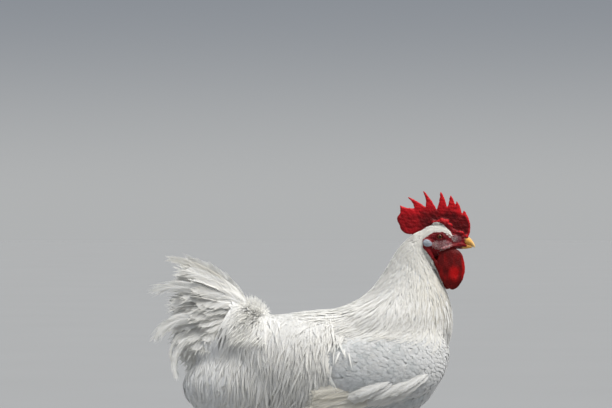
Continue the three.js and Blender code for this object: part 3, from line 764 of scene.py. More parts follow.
def laid(way_at, roots, length, sink, rise, steps, seed, wander=6, loose=0.0, under=0.6 * MM):
    """The shaft of each feather as points with normals, from its root at sink under the surface to its tip at
    rise over it. It leaves the skin quickly, is lower by under where the next tips cover it, and
    follows the lie, off by about wander degrees. Its loose share goes on straight instead."""
    chance = np.random.default_rng(seed)
    count = len(roots)
    length, sink, rise = (np.broadcast_to(v, count)[:, None] for v in (length, sink, rise))
    off = np.radians(chance.normal(0, wander, (count, 1)))
    stray = chance.normal(0, 1, (count, 1))
    place = roots.copy()
    shafts, outwards = [], []
    before = None
    for k in range(steps + 1):
        along = k / steps
        spot, outward = nearest(place)
        height = -sink * (1 - along) ** 3.0 + rise * along - under * (1 - along)
        free = loose * along
        if before is not None:
            spot = spot * (1 - free) + place * free
        shafts.append(spot + outward * height)
        outwards.append(outward)
        way = way_at(spot)
        way = square(way, outward)
        turn = off + np.radians(wander) * 0.5 * along * stray
        way = way * np.cos(turn) + np.cross(outward, way) * np.sin(turn)
        if before is not None:
            way = unit(way * (1 - 0.6 * free) + before * (0.35 + 0.6 * free))
        place = spot + way * length / steps
        before = way
    return np.stack(shafts, axis=1), np.stack(outwards, axis=1)


def vane(rows, half, columns=2, closed_back=False, crowd=1.3):
    """A template feather as arrays of corners and faces: x across from -1 to 1, y along from the root at 0 to
    the tip at 1, z up at the shaft. half gives half its width at each place along it. Both ends close in a
    point."""
    bm = bmesh.new()
    bmesh.ops.create_grid(bm, x_segments=columns, y_segments=rows, size=1)
    for vert in bm.verts:
        across = vert.co.x
        along = 1 - (0.5 - vert.co.y / 2) ** crowd
        vert.co = (across * half(along), along, 0 if abs(across) > 0.999 else 1 - 0.8 * abs(across))
    for end in (0, 1):
        tied = [vert for vert in bm.verts if abs(vert.co.y - end) < 1e-4]
        bmesh.ops.pointmerge(bm, verts=tied, merge_co=(0, end, 0))
    bmesh.ops.mirror(bm, geom=bm.verts[:] + bm.edges[:] + bm.faces[:], axis="Z", merge_dist=1e-4)
    if not closed_back:
        under = [edge for edge in bm.edges if min(v.co.z for v in edge.verts) < -0.01]
        keel = [edge for edge in under if abs(edge.verts[0].co.y - edge.verts[1].co.y) > 1e-3]
        bmesh.ops.dissolve_edges(bm, edges=keel, use_verts=True)
    bmesh.ops.recalc_face_normals(bm, faces=bm.faces[:])
    bm.verts.index_update()
    corners = np.array([vert.co for vert in bm.verts])
    sizes = np.array([len(face.verts) for face in bm.faces])
    loops = np.array([vert.index for face in bm.faces for vert in face.verts])
    bm.free()
    return corners, sizes, loops


def leaf(along):
    """Half width of a body feather: broad, with a rounded tip."""
    tip = max(0.0, (along - 0.52) / 0.48)
    return min(1, 0.42 + 1.5 * along) * math.sqrt(max(0.0, 1 - tip * tip))


def lance(along):
    """Half width of a hackle or saddle feather: long, narrow and pointed."""
    return min(1, 0.35 + 1.6 * along) * (1 - max(0.0, (along - 0.3) / 0.7) ** 1.5)


def wisp(along):
    """Half width of a tuft of fluff: broad at the root and drawn out to a thin tip."""
    return min(1, 0.6 + 2 * along) * (1 - along) ** 0.8


def blade(along):
    """Half width of a flight or tail feather: even, with a blunt rounded tip."""
    tip = max(0.0, (along - 0.72) / 0.28)
    return min(1, 0.16 + 3.2 * along) * math.sqrt(max(0.0, 1 - tip ** 2.2))


LEAF = vane(5, leaf)
LANCE = vane(6, lance)
WISP = vane(4, wisp, crowd=1.0)
SOFT = vane(6, leaf, columns=4)
BLADE = vane(12, blade, closed_back=True, crowd=1.2)
UV_UNIT = 10 * MM  # one unit of the vane's own map


def measured(shaft):
    """Shafts' points, their heading, outward and sideways directions there, and the length of each."""
    points, outwards = shaft
    heading = unit(np.gradient(points, axis=1))
    outward = square(outwards, heading)
    run = np.linalg.norm(np.diff(points, axis=1), axis=2).sum(axis=1)
    return points, heading, outward, np.cross(outward, heading), run


def grown(template, shaft, seed, half_width, thick, camber, ragged=0.06, cream=0.0, grey=0.0):
    """Feathers of one template on the given shafts, as arrays for plumes()."""
    points, _, outward, across, run = measured(shaft)
    corners, sizes, loops = template
    chance = np.random.default_rng(seed)
    count, steps = len(points), points.shape[1] - 1
    half_width, thick = (np.broadcast_to(v, count)[:, None] for v in (half_width, thick))
    at = corners[:, 1] * steps
    low = np.minimum(at.astype(int), steps - 1)
    share = (at - low)[:, None]
    along = lambda rows: rows[:, low] * (1 - share) + rows[:, low + 1] * share
    wide = corners[:, 0] * half_width
    wide = wide * (1 + chance.normal(0, ragged, (count, len(corners))))
    up = corners[:, 2] * thick - camber * corners[:, 0] ** 2 * half_width
    places = along(points) + along(across) * wide[:, :, None] + along(outward) * up[:, :, None]
    marks = {"tone": chance.random(count), "cream": cream, "grey": grey}
    marks = {name: np.broadcast_to(v, count)[:, None] for name, v in marks.items()} | {"along": corners[:, 1]}
    return {
        "places": places,
        "own": np.stack([wide, corners[:, 1] * run[:, None]], axis=2) / UV_UNIT,
        "patch": np.stack([corners[:, 0] / 2, corners[:, 1] - 0.5], axis=1),
        "roots": points[:, 0],
        "sizes": sizes,
        "loops": loops,
        "rim": np.broadcast_to(np.abs(corners[:, 2]) < 1e-3, places.shape[:2]),
    } | {name: np.broadcast_to(v, places.shape[:2]) for name, v in marks.items()}


def barbed(shaft, half_width, count, seed, slant=30, camber=0.12, taper=0.0):
    """Shafts of the barbs of large vanes, count on each side of each quill, and how wide each one is. They
    leave it at about slant degrees, bend towards the tip, part here and there and end unevenly."""
    points, heading, outward, across, run = measured(shaft)
    chance = np.random.default_rng(seed)
    feathers, steps = len(points), points.shape[1] - 1
    run = run[:, None, None, None]
    half_width = np.broadcast_to(half_width, feathers)[:, None, None, None]
    shape = (feathers, 2, count, 1)
    hand = np.array((-1, 1))[None, :, None, None]
    start = np.linspace(0.1, 0.98, count)[None, None, :, None] + chance.normal(0, 0.3 / count, shape)
    each = (feathers, 2, 1, 1)
    clump = np.sin(start * chance.uniform(14, 30, each) + chance.uniform(0, 6, each))
    angle = slant * (1 - 0.5 * start) + 6 * clump ** 3 + chance.normal(0, 2.5, shape)
    angle = np.radians(np.maximum(angle, 0.35 * slant))
    broad = np.vectorize(blade)(np.clip(start, 0, 0.96)) * 0.9 + 0.1
    broad = broad * (1 - taper * np.clip(start, 0, 1) ** 1.5)
    long = half_width * broad / np.sin(angle) * chance.uniform(0.8, 1.12, shape)
    long = np.minimum(long, (1.04 + chance.uniform(-0.08, 0.04, shape) - start) * run / np.cos(angle))
    u = np.linspace(0, 1, 5)
    aside = long * np.sin(angle) * (1 - (1 - u) ** 1.25)
    at = (start + long * np.cos(angle) * u / run) * steps
    low = np.clip(at.astype(int), 0, steps - 1)
    share = (at - low)[..., None]
    rank = np.arange(feathers)[:, None, None, None]
    part = np.minimum(share, 1)
    pick = lambda rows: rows[rank, low] * (1 - part) + rows[rank, low + 1] * part
    past = (np.maximum(share - 1, 0) * run[..., None] / steps) * heading[:, -1][:, None, None, None]
    lift = 0.3 * MM - camber * aside ** 2 / half_width + chance.normal(0, 0.25, shape) * u * MM
    places = pick(points) + past + pick(across) * (hand * aside)[..., None] + pick(outward) * lift[..., None]
    wide = np.broadcast_to(1.0 * run * np.sin(angle) / count, shape)
    return (places.reshape(-1, 5, 3), pick(outward).reshape(-1, 5, 3)), wide.ravel()


BARB = vane(3, wisp, crowd=1.0)


def quilled(shaft, half_width, count, seed, cream=0.1, slant=30, camber=0.12, template=BLADE, taper=0.0):
    """Large feathers: a narrow closed web with barbs on both sides of the quill."""
    web = grown(template, shaft, seed, half_width * 0.8, 0.2 * MM, camber, 0.05, cream)
    barbs, wide = barbed(shaft, half_width, count, seed + 1, slant, camber, taper)
    colour = np.repeat(np.broadcast_to(cream, len(shaft[0])), 2 * count)
    return [web, grown(BARB, barbs, seed + 2, wide, 0.1 * MM, 0.05, cream=colour)]


# The whole skin is unwrapped once, coarsely, and each feather is given a small patch of that map at its
# root's place.
PATCH = 0.003
COARSE_FACES = 8000
coarse = skin.copy()
coarse.data = skin.data.copy()
bpy.context.scene.collection.objects.link(coarse)
decimate = coarse.modifiers.new("Coarse", "DECIMATE")
decimate.ratio = COARSE_FACES / (2 * len(coarse.data.polygons))
decimate.use_collapse_triangulate = True
applied(coarse)
bpy.context.view_layer.objects.active = coarse
coarse.select_set(True)
bpy.ops.object.mode_set(mode="EDIT")
bpy.ops.mesh.select_all(action="SELECT")
bpy.ops.uv.smart_project(angle_limit=math.radians(66), island_margin=0.004)
bpy.ops.object.mode_set(mode="OBJECT")
coarse_points = points_of(coarse.data)
coarse_faces = np.array([face.vertices[:] for face in coarse.data.polygons])
coarse_uv = field_of(coarse.data.uv_layers.active.data, "uv", 2).reshape(-1, 3, 2)
coarse_tree = BVHTree.FromPolygons(coarse_points.tolist(), coarse_faces.tolist())
discard(coarse)


def bake_spots(places):
    """Where each place falls on the unwrapped skin."""
    found = [coarse_tree.find_nearest(place) for place in places.tolist()]
    spots = np.array([hit[0] for hit in found])
    faces = np.array([hit[2] for hit in found])
    corner = coarse_points[coarse_faces[faces]]
    shares = []
    for k in range(3):
        edge = corner[:, (k + 2) % 3] - corner[:, (k + 1) % 3]
        shares.append(np.linalg.norm(np.cross(edge, spots - corner[:, (k + 1) % 3]), axis=1) + 1e-15)
    shares = np.stack(shares, axis=1)
    shares /= shares.sum(axis=1, keepdims=True)
    return (coarse_uv[faces] * shares[:, :, None]).sum(axis=1)


def plumes(name, batches, slot="plumage", instead=()):
    """One coat piece of several batches of feathers, with its maps and marks, riding on the body."""
    places = np.concatenate([batch["places"].reshape(-1, 3) for batch in batches])
    loops, sizes, own, bake, base = [], [], [], [], 0
    for batch in batches:
        count, corners = batch["places"].shape[:2]
        loops.append((batch["loops"] + base + corners * np.arange(count)[:, None]).ravel())
        sizes.append(np.tile(batch["sizes"], count))
        own.append(batch["own"].reshape(-1, 2))
        spots = np.clip(bake_spots(batch["roots"]), PATCH, 1 - PATCH)
        bake.append((spots[:, None] + PATCH * batch["patch"]).reshape(-1, 2))
        base += count * corners
    loops, sizes, own, bake = (np.concatenate(part) for part in (loops, sizes, own, bake))
    mesh = bpy.data.meshes.new(name)
    mesh.vertices.add(len(places))
    mesh.loops.add(len(loops))
    mesh.polygons.add(len(sizes))
    mesh.vertices.foreach_set("co", places.astype(np.float32).ravel())
    mesh.loops.foreach_set("vertex_index", loops.astype(np.int32))
    mesh.polygons.foreach_set("loop_start", (np.cumsum(sizes) - sizes).astype(np.int32))
    mesh.polygons.foreach_set("loop_total", sizes.astype(np.int32))
    mesh.update(calc_edges=True)
    smooth_faces(mesh)
    rim = np.concatenate([batch["rim"].ravel() for batch in batches])
    sharp = rim[field_of(mesh.edges, "vertices", 2, np.int32)].all(axis=1)
    mesh.attributes.new("sharp_edge", "BOOLEAN", "EDGE").data.foreach_set("value", sharp)
    for layer, values in (("OFBake", bake), ("Vane", own)):
        mesh.uv_layers.new(name=layer).data.foreach_set("uv", values[loops].astype(np.float32).ravel())
    for mark in ("tone", "along", "cream", "grey"):
        marked(mesh, mark, np.concatenate([batch[mark].ravel() for batch in batches]))
    piece = bpy.data.objects.new(name, mesh)
    bpy.context.scene.collection.objects.link(piece)
    mounted(piece, slot, *instead)
    coat.append(piece)


class Bed:
    """Roots of feathers scattered over the outline where share is over a half, none nearer the next than
    gap mm. Its four seeds are for the roots, the sizes, the shafts and the vanes."""

    TRIES = 7  # places tried for each root that would fit

    def __init__(self, share, gap, *seeds):
        chance = np.random.default_rng(seeds[0])
        gap = np.broadcast_to(gap * MM, len(outline))
        odds = face_area * (share[body_faces].mean(axis=1) > 0.5) / gap[body_faces].mean(axis=1) ** 2
        tries = chance.choice(len(body_faces), size=int(odds.sum() * self.TRIES), p=odds / odds.sum())
        a, b = chance.random((2, len(tries), 1))
        weights = np.concatenate([(1 - a) * (1 - b), a * (1 - b), a * b, (1 - a) * b], axis=1)
        corners = body_faces[tries]
        places = (outline[corners] * weights[:, :, None]).sum(axis=1)
        gaps = (gap[corners] * weights).sum(axis=1)
        tree = tree_of(places)
        blocked = np.zeros(len(places), bool)
        chosen = []
        for k, place in enumerate(places.tolist()):
            if not blocked[k]:
                chosen.append(k)
                blocked[[hit[1] for hit in tree.find_range(place, gaps[k])]] = True
        self.roots, self.corners, self.weights = places[chosen], corners[chosen], weights[chosen]
        self.sink = self.at(depth)
        self.seeds = seeds
        self.chance = np.random.default_rng(seeds[1])

    def at(self, values):
        """Values of the outline's points, read off at the roots."""
        return (values[self.corners] * self.weights).sum(axis=1)

    def even(self, low, high):
        return self.chance.uniform(low, high, len(self.roots))

    def normal(self, spread):
        return self.chance.normal(0, spread, len(self.roots))

    def feathers(
        self, template, length, rise, width, steps=6, way=body_lie, thick=0.15 * MM, camber=0.05, ragged=0.06,
        cream=0.0, grey=0.0, **manner,
    ):
        """A feather on each root. Its manner of lying is for laid()."""
        shaft = laid(way, self.roots, length, self.sink, rise, steps, self.seeds[2], **manner)
        return grown(template, shaft, self.seeds[3], width, thick, camber, ragged, cream, grey)


def undercoat(share, spacing, length, half_width, seed):
    """A closed layer of broad soft leaves a little below the outline, which shows white between the outer
    feathers."""
    bed = Bed(share, spacing, seed, seed, seed + 1, seed + 2)
    return bed.feathers(LEAF, length * MM, -0.8 * MM, half_width * MM, 4, camber=0.02, wander=10)


coat = []

# ------------------------------------------------------------------ crown, cheeks and nape
# The shortest feathers, a few millimetres long, lie back from the bill over the crown and round the ear
# lobes. Fine pale bristles stand in the bare skin of the cheeks.
neck_owned, trunk_owned = share_of("neck"), share_of("trunk")
saddle_owned, stern_owned = share_of("saddle"), share_of("stern")
thigh_owned, bow_owned = share_of("thigh"), share_of("wing")
from_head = np.linalg.norm(outline - HEAD_MIDDLE, axis=1)
on_crown = eased(feathered, 0, 0.45) * (from_head < 50 * MM)
HACKLE_TOP, HACKLE_FOOT = 0.452, 0.328  # highest and lowest roots of the neck hackle
size_by_reach = eased(from_head, 18 * MM, 56 * MM)
bed = Bed(on_crown, 0.85 + 1.0 * size_by_reach, 21, 22, 23, 24)
bed.sink = bed.sink + 0.2 * MM
by_reach = bed.at(size_by_reach)
length = (4.4 + 11 * by_reach) * MM * bed.even(0.75, 1.25)
rise, width = (0.25 + 0.5 * by_reach) * MM, (0.62 + 0.85 * by_reach) * MM
crown = bed.feathers(LANCE, length, rise, width, 5, thick=0.1 * MM, camber=0.08, cream=0.35, wander=7)

under_cheek = (np.hypot(ox - 0.196, (oz - 0.424) * 1.6) < 11 * MM) * (face_share > 0.6)
by_nostril = (np.hypot(ox - 0.2125, oz - 0.4435) < 5 * MM) * (face_share > 0.6)
on_cheek = np.maximum(face_share * (cheek > 0.1), np.maximum(under_cheek, by_nostril)) * (from_eye > 6.6 * MM)
bed = Bed(on_cheek, 0.95 + 0.5 * under_cheek, 25, 25, 26, 27)
bed.sink = 0.2 * MM
look = {"thick": 0.12 * MM, "camber": 0.12, "cream": 0.2}
bristles = bed.feathers(WISP, 3.2 * MM, 0.8 * MM, 0.2 * MM, 3, wander=16, **look)
plumes("crown_feathers", [crown, bristles])

# ------------------------------------------------------------------ neck hackle
# Long narrow pointed feathers that fall from the nape like a cape, short at the head and longest over the
# shoulders. A closed layer of broad soft leaves lies under them.
on_hackle = eased(feathered, 0, 0.6) * np.maximum(neck_owned, from_head < 60 * MM)
on_hackle = on_hackle * (from_head > 38 * MM) * (oz > HACKLE_FOOT)
down_neck = eased(HACKLE_TOP - oz, 0, HACKLE_TOP - HACKLE_FOOT)
for word, side in SIDES:
    on_this = on_hackle * (side * oy > -0.5 * MM)
    batches = [undercoat(on_this, 4.2, 19, 3.8, 35 + side)]
    for layer, (gap, broad) in enumerate(((1.0, 1.0), (1.35, 0.8))):
        seeds = (31 + 4 * layer + side, 41 + layer + side, 43 + layer, 45 + layer)
        bed = Bed(on_this, (1.7 + 1.5 * down_neck) * gap, *seeds)
        fall = bed.at(down_neck)
        length = (17 + 44 * fall) * MM * bed.even(0.8, 1.2)
        rise = (0.2 + 0.9 * fall ** 2 + 0.35 * layer + bed.normal(0.2) * (0.3 + fall)) * MM
        width = (0.95 + 1.35 * fall) * broad * MM * bed.even(0.75, 1.25)
        front = eased(bed.roots[:, 0], 0.13, 0.19) * eased(bed.roots[:, 2], 0.33, 0.37)
        manner = {"cream": 0.2 + 0.6 * front, "wander": 4 + 2 * layer, "loose": 0.15}
        batches.append(bed.feathers(LANCE, length, rise, width, **manner))
    bed = Bed(on_this * (oz < 0.374), 4.6, 47 + side, 48 + side, 49, 50)
    length = 50 * MM * bed.even(0.75, 1.2)
    rise = (1.3 + np.abs(bed.normal(0.7))) * MM
    batches.append(bed.feathers(LANCE, length, rise, 2.9 * MM, cream=0.3, wander=7, loose=0.2))
    plumes(f"hackle_{word}", batches)

# ------------------------------------------------------------------ breast and flanks
# Broad soft feathers with round tips, laid like tiles down the breast, under the wings and along the belly.
low_neck = neck_owned * (oz < HACKLE_FOOT - 4 * MM) * (ox > 0.12) * (np.abs(oy) < 0.044)
on_breast = np.maximum(low_neck, trunk_owned * (oz < 0.300)) * feathered
# Painted shade: the breast feathers under the folded wings are painted grey.
painted_shade_under_wing = eased(0.236 - oz, 0, 0.02) * eased(np.abs(oy), 0.025, 0.05) * eased(ox, -0.04, 0)
for word, side in SIDES:
    batches = []
    for layer, (gap, stretch) in enumerate(((1.0, 1.0), (1.3, 0.9))):
        seeds = (51 + 3 * layer + side, 53 + layer + side, 55 + layer, 57 + layer)
        bed = Bed(on_breast * (side * oy > 0), 6.2 * gap, *seeds)
        beside = eased(np.abs(bed.roots[:, 1]), 0.034, 0.052) * eased(bed.roots[:, 2], 0.24, 0.28)
        length = 27 * stretch * MM * bed.even(0.85, 1.15) * (1 - 0.5 * beside)
        rise = (0.2 + 0.2 * layer + bed.normal(0.15)) * MM
        width = 7.2 * stretch * MM * bed.even(0.85, 1.1) * (1 - 0.4 * beside)
        grey = bed.at(painted_shade_under_wing) * bed.even(0.8, 1.2)
        look = {"thick": 0.12 * MM, "camber": 0.03, "cream": 0.15, "grey": grey}
        manner = {"wander": 9, "loose": 0.1, "under": 0.4 * MM}
        batches.append(bed.feathers(SOFT, length, rise, width, 5, **look, **manner))
    plumes(f"breast_feathers_{word}", batches)

# ------------------------------------------------------------------ back and saddle
# Close smooth feathers along the back pass into the saddle hackle, long narrow plumes that hang over the rump
# and the folded wings in loose points.
on_back = np.maximum(trunk_owned, neck_owned * (oz < HACKLE_FOOT + 6 * MM) * (ox < 0.125))
on_back = on_back * (oz > 0.285) * feathered * (1 - bow_owned)
uneven = grain(outline, 26 * MM, 77)
on_saddle = np.maximum(saddle_owned, trunk_owned * (ox < 0.018 + 0.03 * uneven))
on_saddle = on_saddle * (oz > 0.245 + 0.012 * uneven) * feathered
on_saddle = np.maximum(on_saddle, stern_owned * (oz > 0.25) * (ox > -0.115))
on_saddle = np.maximum(on_saddle, tail_share * (ox > -0.118) * (oz > 0.27))
for word, side in SIDES:
    on_this = side * oy > -1 * MM
    batches = [undercoat(np.maximum(on_back, on_saddle) * on_this * (ox > -0.100), 6.5, 30, 5.8, 65 + side)]
    for layer, gap in enumerate((3.5, 5.0)):
        bed = Bed(on_back * on_this, gap, 61 + side + 4 * layer, 63 + side + layer, 65 + layer, 67 + layer)
        length = (34 + 8 * layer) * MM * bed.even(0.8, 1.2)
        rise = (0.2 + 0.3 * layer + bed.normal(0.2)) * MM
        width = (2.9 - 0.5 * layer) * MM * bed.even(0.75, 1.25)
        batches.append(bed.feathers(LANCE, length, rise, width, cream=0.1, loose=0.1))
    for layer, (gap, broad) in enumerate(((4.2, 4.3), (5.2, 3.6), (6.5, 3.2), (8.5, 4.4))):
        bed = Bed(on_saddle * on_this, gap, 71 + 3 * layer + side, 73 + layer + side, 73 + layer, 75 + layer)
        hang = eased(np.abs(bed.roots[:, 1]), 0.01, 0.05)
        over_wing = eased(bed.roots[:, 0], -0.05, 0.0) * hang
        on_shoulder = eased(bed.roots[:, 0], -0.01, 0.045)
        length = (46 + 28 * hang + 8 * layer) * MM * bed.even(0.6, 1.2) * (1 - 0.5 * on_shoulder)
        stray = np.abs(bed.normal(0.25 + 0.3 * layer)) * hang
        locks = np.clip(grain(bed.roots, 15 * MM, 79), 0, 1) * hang
        rise = (0.2 + 0.45 * layer + 3.0 * over_wing + stray + 1.6 * locks) * MM
        width = broad * MM * bed.even(0.7, 1.25) * (1 - 0.5 * on_shoulder)
        manner = {"cream": 0.1 + 0.2 * hang, "wander": 6 + 3 * layer, "loose": 0.35 * hang[:, None]}
        batches.append(bed.feathers(LANCE, length, rise, width, 6, hanging, 0.12 * MM, 0.04, **manner))
    curtain = np.maximum(on_saddle, tail_share * (oz > 0.27)) * (np.abs(ox + 0.083) < 0.037) * (oz > 0.256)
    bed = Bed(curtain * on_this, 3.6, 85 + side, 86 + side, 87, 88)
    length = 66 * MM * bed.even(0.55, 1.35)
    lift = eased(-bed.roots[:, 0], 0.045, 0.095) * eased(bed.roots[:, 2], 0.25, 0.29)
    rise = (1.0 + 2.0 * lift + np.abs(bed.normal(0.9))) * MM
    manner = {"cream": 0.15, "wander": 8, "loose": 0.3}
    batches.append(bed.feathers(LANCE, length, rise, 3.0 * MM, 7, hanging, 0.12 * MM, 0.04, **manner))
    plumes(f"saddle_hackle_{word}", batches)

# ------------------------------------------------------------------ stern fluff and thighs
# Loose downy feathers under the tail and round the thighs, with soft tips that stand a little out of the
# outline.
on_stern = np.maximum(stern_owned * (oz < 0.275), trunk_owned * (oz < 0.20) * (ox < -0.01)) * feathered
on_thigh = thigh_owned * feathered
HOCK = oz[on_thigh > 0.5].min()
for word, side in SIDES:
    for name, share, first_seed, sizes in (
        ("stern_fluff", on_stern, 92, ((6.0, 40, 8.5, SOFT), (8.0, 46, 9.0, SOFT), (6.0, 30, 1.6, WISP))),
        ("thigh_feathers", on_thigh, 95, ((4.8, 20, 5.2, SOFT), (4.4, 19, 1.4, WISP))),
    ):
        batches = []
        for layer, (gap, long, broad, template) in enumerate(sizes):
            seed = first_seed + 5 * layer + side
            bed = Bed(share * (side * oy > 0), gap, *range(seed, seed + 4))
            at_hock = eased(HOCK + 26 * MM - bed.roots[:, 2], 0, 18 * MM)
            length = long * MM * bed.even(0.75, 1.25) * (1 - 0.55 * at_hock)
            rise = (0.3 + 1.0 * layer + bed.normal(0.4)) * MM
            width = broad * MM * bed.even(0.8, 1.2) * (1 - 0.35 * at_hock)
            batches.append(bed.feathers(template, length, rise, width, 5, ragged=0.1, wander=11, loose=0.25))
        if name == "stern_fluff":
            under_tail = np.maximum(tail_share * (oz < 0.302), stern_owned * (oz > 0.243))
            bed = Bed(under_tail * (side * oy > 0), 4.2, 95 + side, 96 + side, 97, 98)
            length = 52 * MM * bed.even(0.7, 1.2)
            manner = {"thick": 0.12 * MM, "wander": 9, "loose": 0.3}
            batches.append(bed.feathers(LANCE, length, 3 * MM, 3.4 * MM, 7, hanging, **manner))
        plumes(f"{name}_{word}", batches)

# ------------------------------------------------------------------ folded wings
# Small close round coverts over the bow, larger ones behind and below it. A row of long pale feathers
# follows the wing's lower edge, and under them the closed flight feathers end in blunt steps.
in_wing = bow_owned * feathered
rearward = eased(0.5 * (0.190 - ox) / 0.150 + 0.8 * (0.300 - oz) / 0.100, 0.15, 1.05)
# Rear coverts below the shoulder are painted grey in patches: partly grey down, partly painted shade.
grey_down_and_shade = eased(0.182 - ox, 0, 0.035) * eased(0.314 - oz, 0, 0.022) * (0.5 + 0.4 * grain(outline, 17 * MM, 93))
EDGE_FEATHERS = (  # root x and z, dip below the rear horizon, length and half width
    (184, 243, 27, 56, 6.5),
    (168, 232, 31, 52, 6.5),
    (150, 232, 27, 62, 7.5),
    (134, 224, 30, 58, 7.5),
    (120, 231, 22, 58, 8.0),
    (104, 222, 24, 52, 7.5),
)
for word, side in SIDES:
    batches = []
    for layer, gap in enumerate((1.0, 1.3)):
        seed = 101 + 5 * layer + side
        bed = Bed(in_wing * (side * oy > 0), (3.3 + 2.9 * rearward) * gap, *range(seed, seed + 4))
        back = bed.at(rearward)
        front_top = eased(bed.roots[:, 0], 0.16, 0.19)
        length = (14 + 22 * back - 4 * front_top) * MM * bed.even(0.85, 1.15)
        rise = (0.15 + 0.12 * layer + bed.normal(0.08)) * MM
        width = (4.0 + 3.0 * back) * MM * bed.even(0.85, 1.1)
        grey = bed.at(grey_down_and_shade) * bed.even(0.6, 1.2)
        look = {"thick": 0.1 * MM, "camber": 0.02, "ragged": 0.05, "grey": grey}
        batches.append(bed.feathers(SOFT, length, rise, width, 5, under=0.2 * MM, **look))
    for k, (x, z, dip, long, broad) in enumerate(EDGE_FEATHERS):
        way = np.array([[-math.cos(math.radians(dip)), 0, -math.sin(math.radians(dip))]])
        pair = np.array((x, side * 90, z)) * MM + np.array(((0, 0, 0), (-4, 0, 4))) * MM
        dipping = lambda spots, way=way: np.repeat(way, len(spots), axis=0)
        roots = nearest(pair)[0]
        points, outwards = laid(dipping, roots, long * MM, 2 * MM, 6 * MM, 10, 106 + k, 3, 0.2, 0)
        shaft = (points, unit(outwards + (0, 0, 0.55)))
        batches += quilled(shaft, np.full(2, broad * MM), 30, 107 + k, cream=0.05)
    plumes(f"wing_coverts_{word}", batches)

FLIGHTS = 6
FLIGHT_ROWS = 12
for word, side in SIDES:
    low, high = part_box(f"wing_{word}_flight")
    shafts, outwards = [], []
    for k in range(FLIGHTS):
        part = k / (FLIGHTS - 1)
        along = np.linspace(0, 1, FLIGHT_ROWS + 1)
        start, end = 104 - 10 * part, -4 + 20 * part * (1 - part) - 6 * part
        level = high.z / MM - 11 - 28 * part
        flight_x = (start + (end - start) * along) * MM
        flight_z = (level + 10 * (1 - along) - 4 * along ** 2) * MM
        bulge = 6.5 * np.sin(math.pi * np.clip(along * 0.9, 0, 1))
        flight_y = (71.5 + bulge - 2.2 * part + 0.6 * (k % 2)) * MM
        shafts.append(np.stack([flight_x, side * flight_y, flight_z], axis=1))
        outwards.append(np.tile((0.05, side * 0.94, 0.26), (FLIGHT_ROWS + 1, 1)))
    shaft = (np.array(shafts), unit(np.array(outwards)))
    flights = quilled(shaft, np.full(FLIGHTS, 10 * MM), 60, 111, cream=0.9, slant=22)
    plumes(f"flight_feathers_{word}", flights, "flight_feathers", [f"wing_{word}_flight"])

# ------------------------------------------------------------------ tail
# Broad soft coverts stand on edge in layers on each side of the tail, the shortest outermost, and the long
# sickles arch out of them. Each is a quill with its own barbs over a thin web. A tuft of fluff stands up
# where the back ends.
ROWS = 12


def arched(table, side):
    """Shafts of upright blades. Each row of the table has the root's x and z, the heading above the rear
    horizon, the turn on the way, the length, and the distance from the middle plane at the root and at the
    tip."""
    root_x, root_z, heading, turn, long, root_y, tip_y = np.array(table, float).T[:, :, None]
    along = np.linspace(0, 1, ROWS + 1)
    angle = np.radians(heading + turn * (along - 0.5 / ROWS))
    x = root_x - np.cumsum(np.cos(angle) * (along > 0), axis=1) * long / ROWS
    z = root_z + np.cumsum(np.sin(angle) * (along > 0), axis=1) * long / ROWS
    y = side * (root_y + (tip_y - root_y) * along ** 0.7)
    return np.stack([x, y + 0 * x, z], axis=2) * MM


def drawn_out(along):
    """Half width of a sickle: even, then drawn out to a point."""
    return min(1, 0.16 + 3.2 * along) * (1 - max(0.0, (along - 0.5) / 0.5) ** 1.9)


SICKLE = vane(12, drawn_out, closed_back=True, crowd=1.1)
SICKLES = {  # root x and z, heading, turn, length, root and tip y, then half width
    "top": (-112, 343, 61, -55, 131, 4, 9, 7.5),
    "upper": (-146, 356, 30, -50, 100, 12, 22, 10.5),
    "middle": (-154, 317, 30, -94, 99, 16, 30, 10.5),
    "curl": (-176, 306, 4, -112, 70, 13, 20, 3.2),
    "lower": (-168, 298, -4, -112, 86, 20, 26, 6),
}
for word, side in SIDES:
    table = np.array([*SICKLES.values()], float)
    lean = np.random.default_rng(141).normal(0, 0.12, (len(table), 1, 3))
    outwards = np.tile((0, side, 0), (len(table), ROWS + 1, 1)) + lean
    yellowed = np.array([0.6] + [0.05] * (len(SICKLES) - 1))
    shaft = (arched(table[:, :7], side), unit(outwards))
    sickles = quilled(shaft, table[:, 7] * MM, 44, 143, cream=yellowed, slant=24, template=SICKLE, taper=0.35)
    nodes = [f"sickle_{word}_{name}" for name in SICKLES]
    plumes(f"sickles_{word}", sickles, "flight_feathers", nodes)

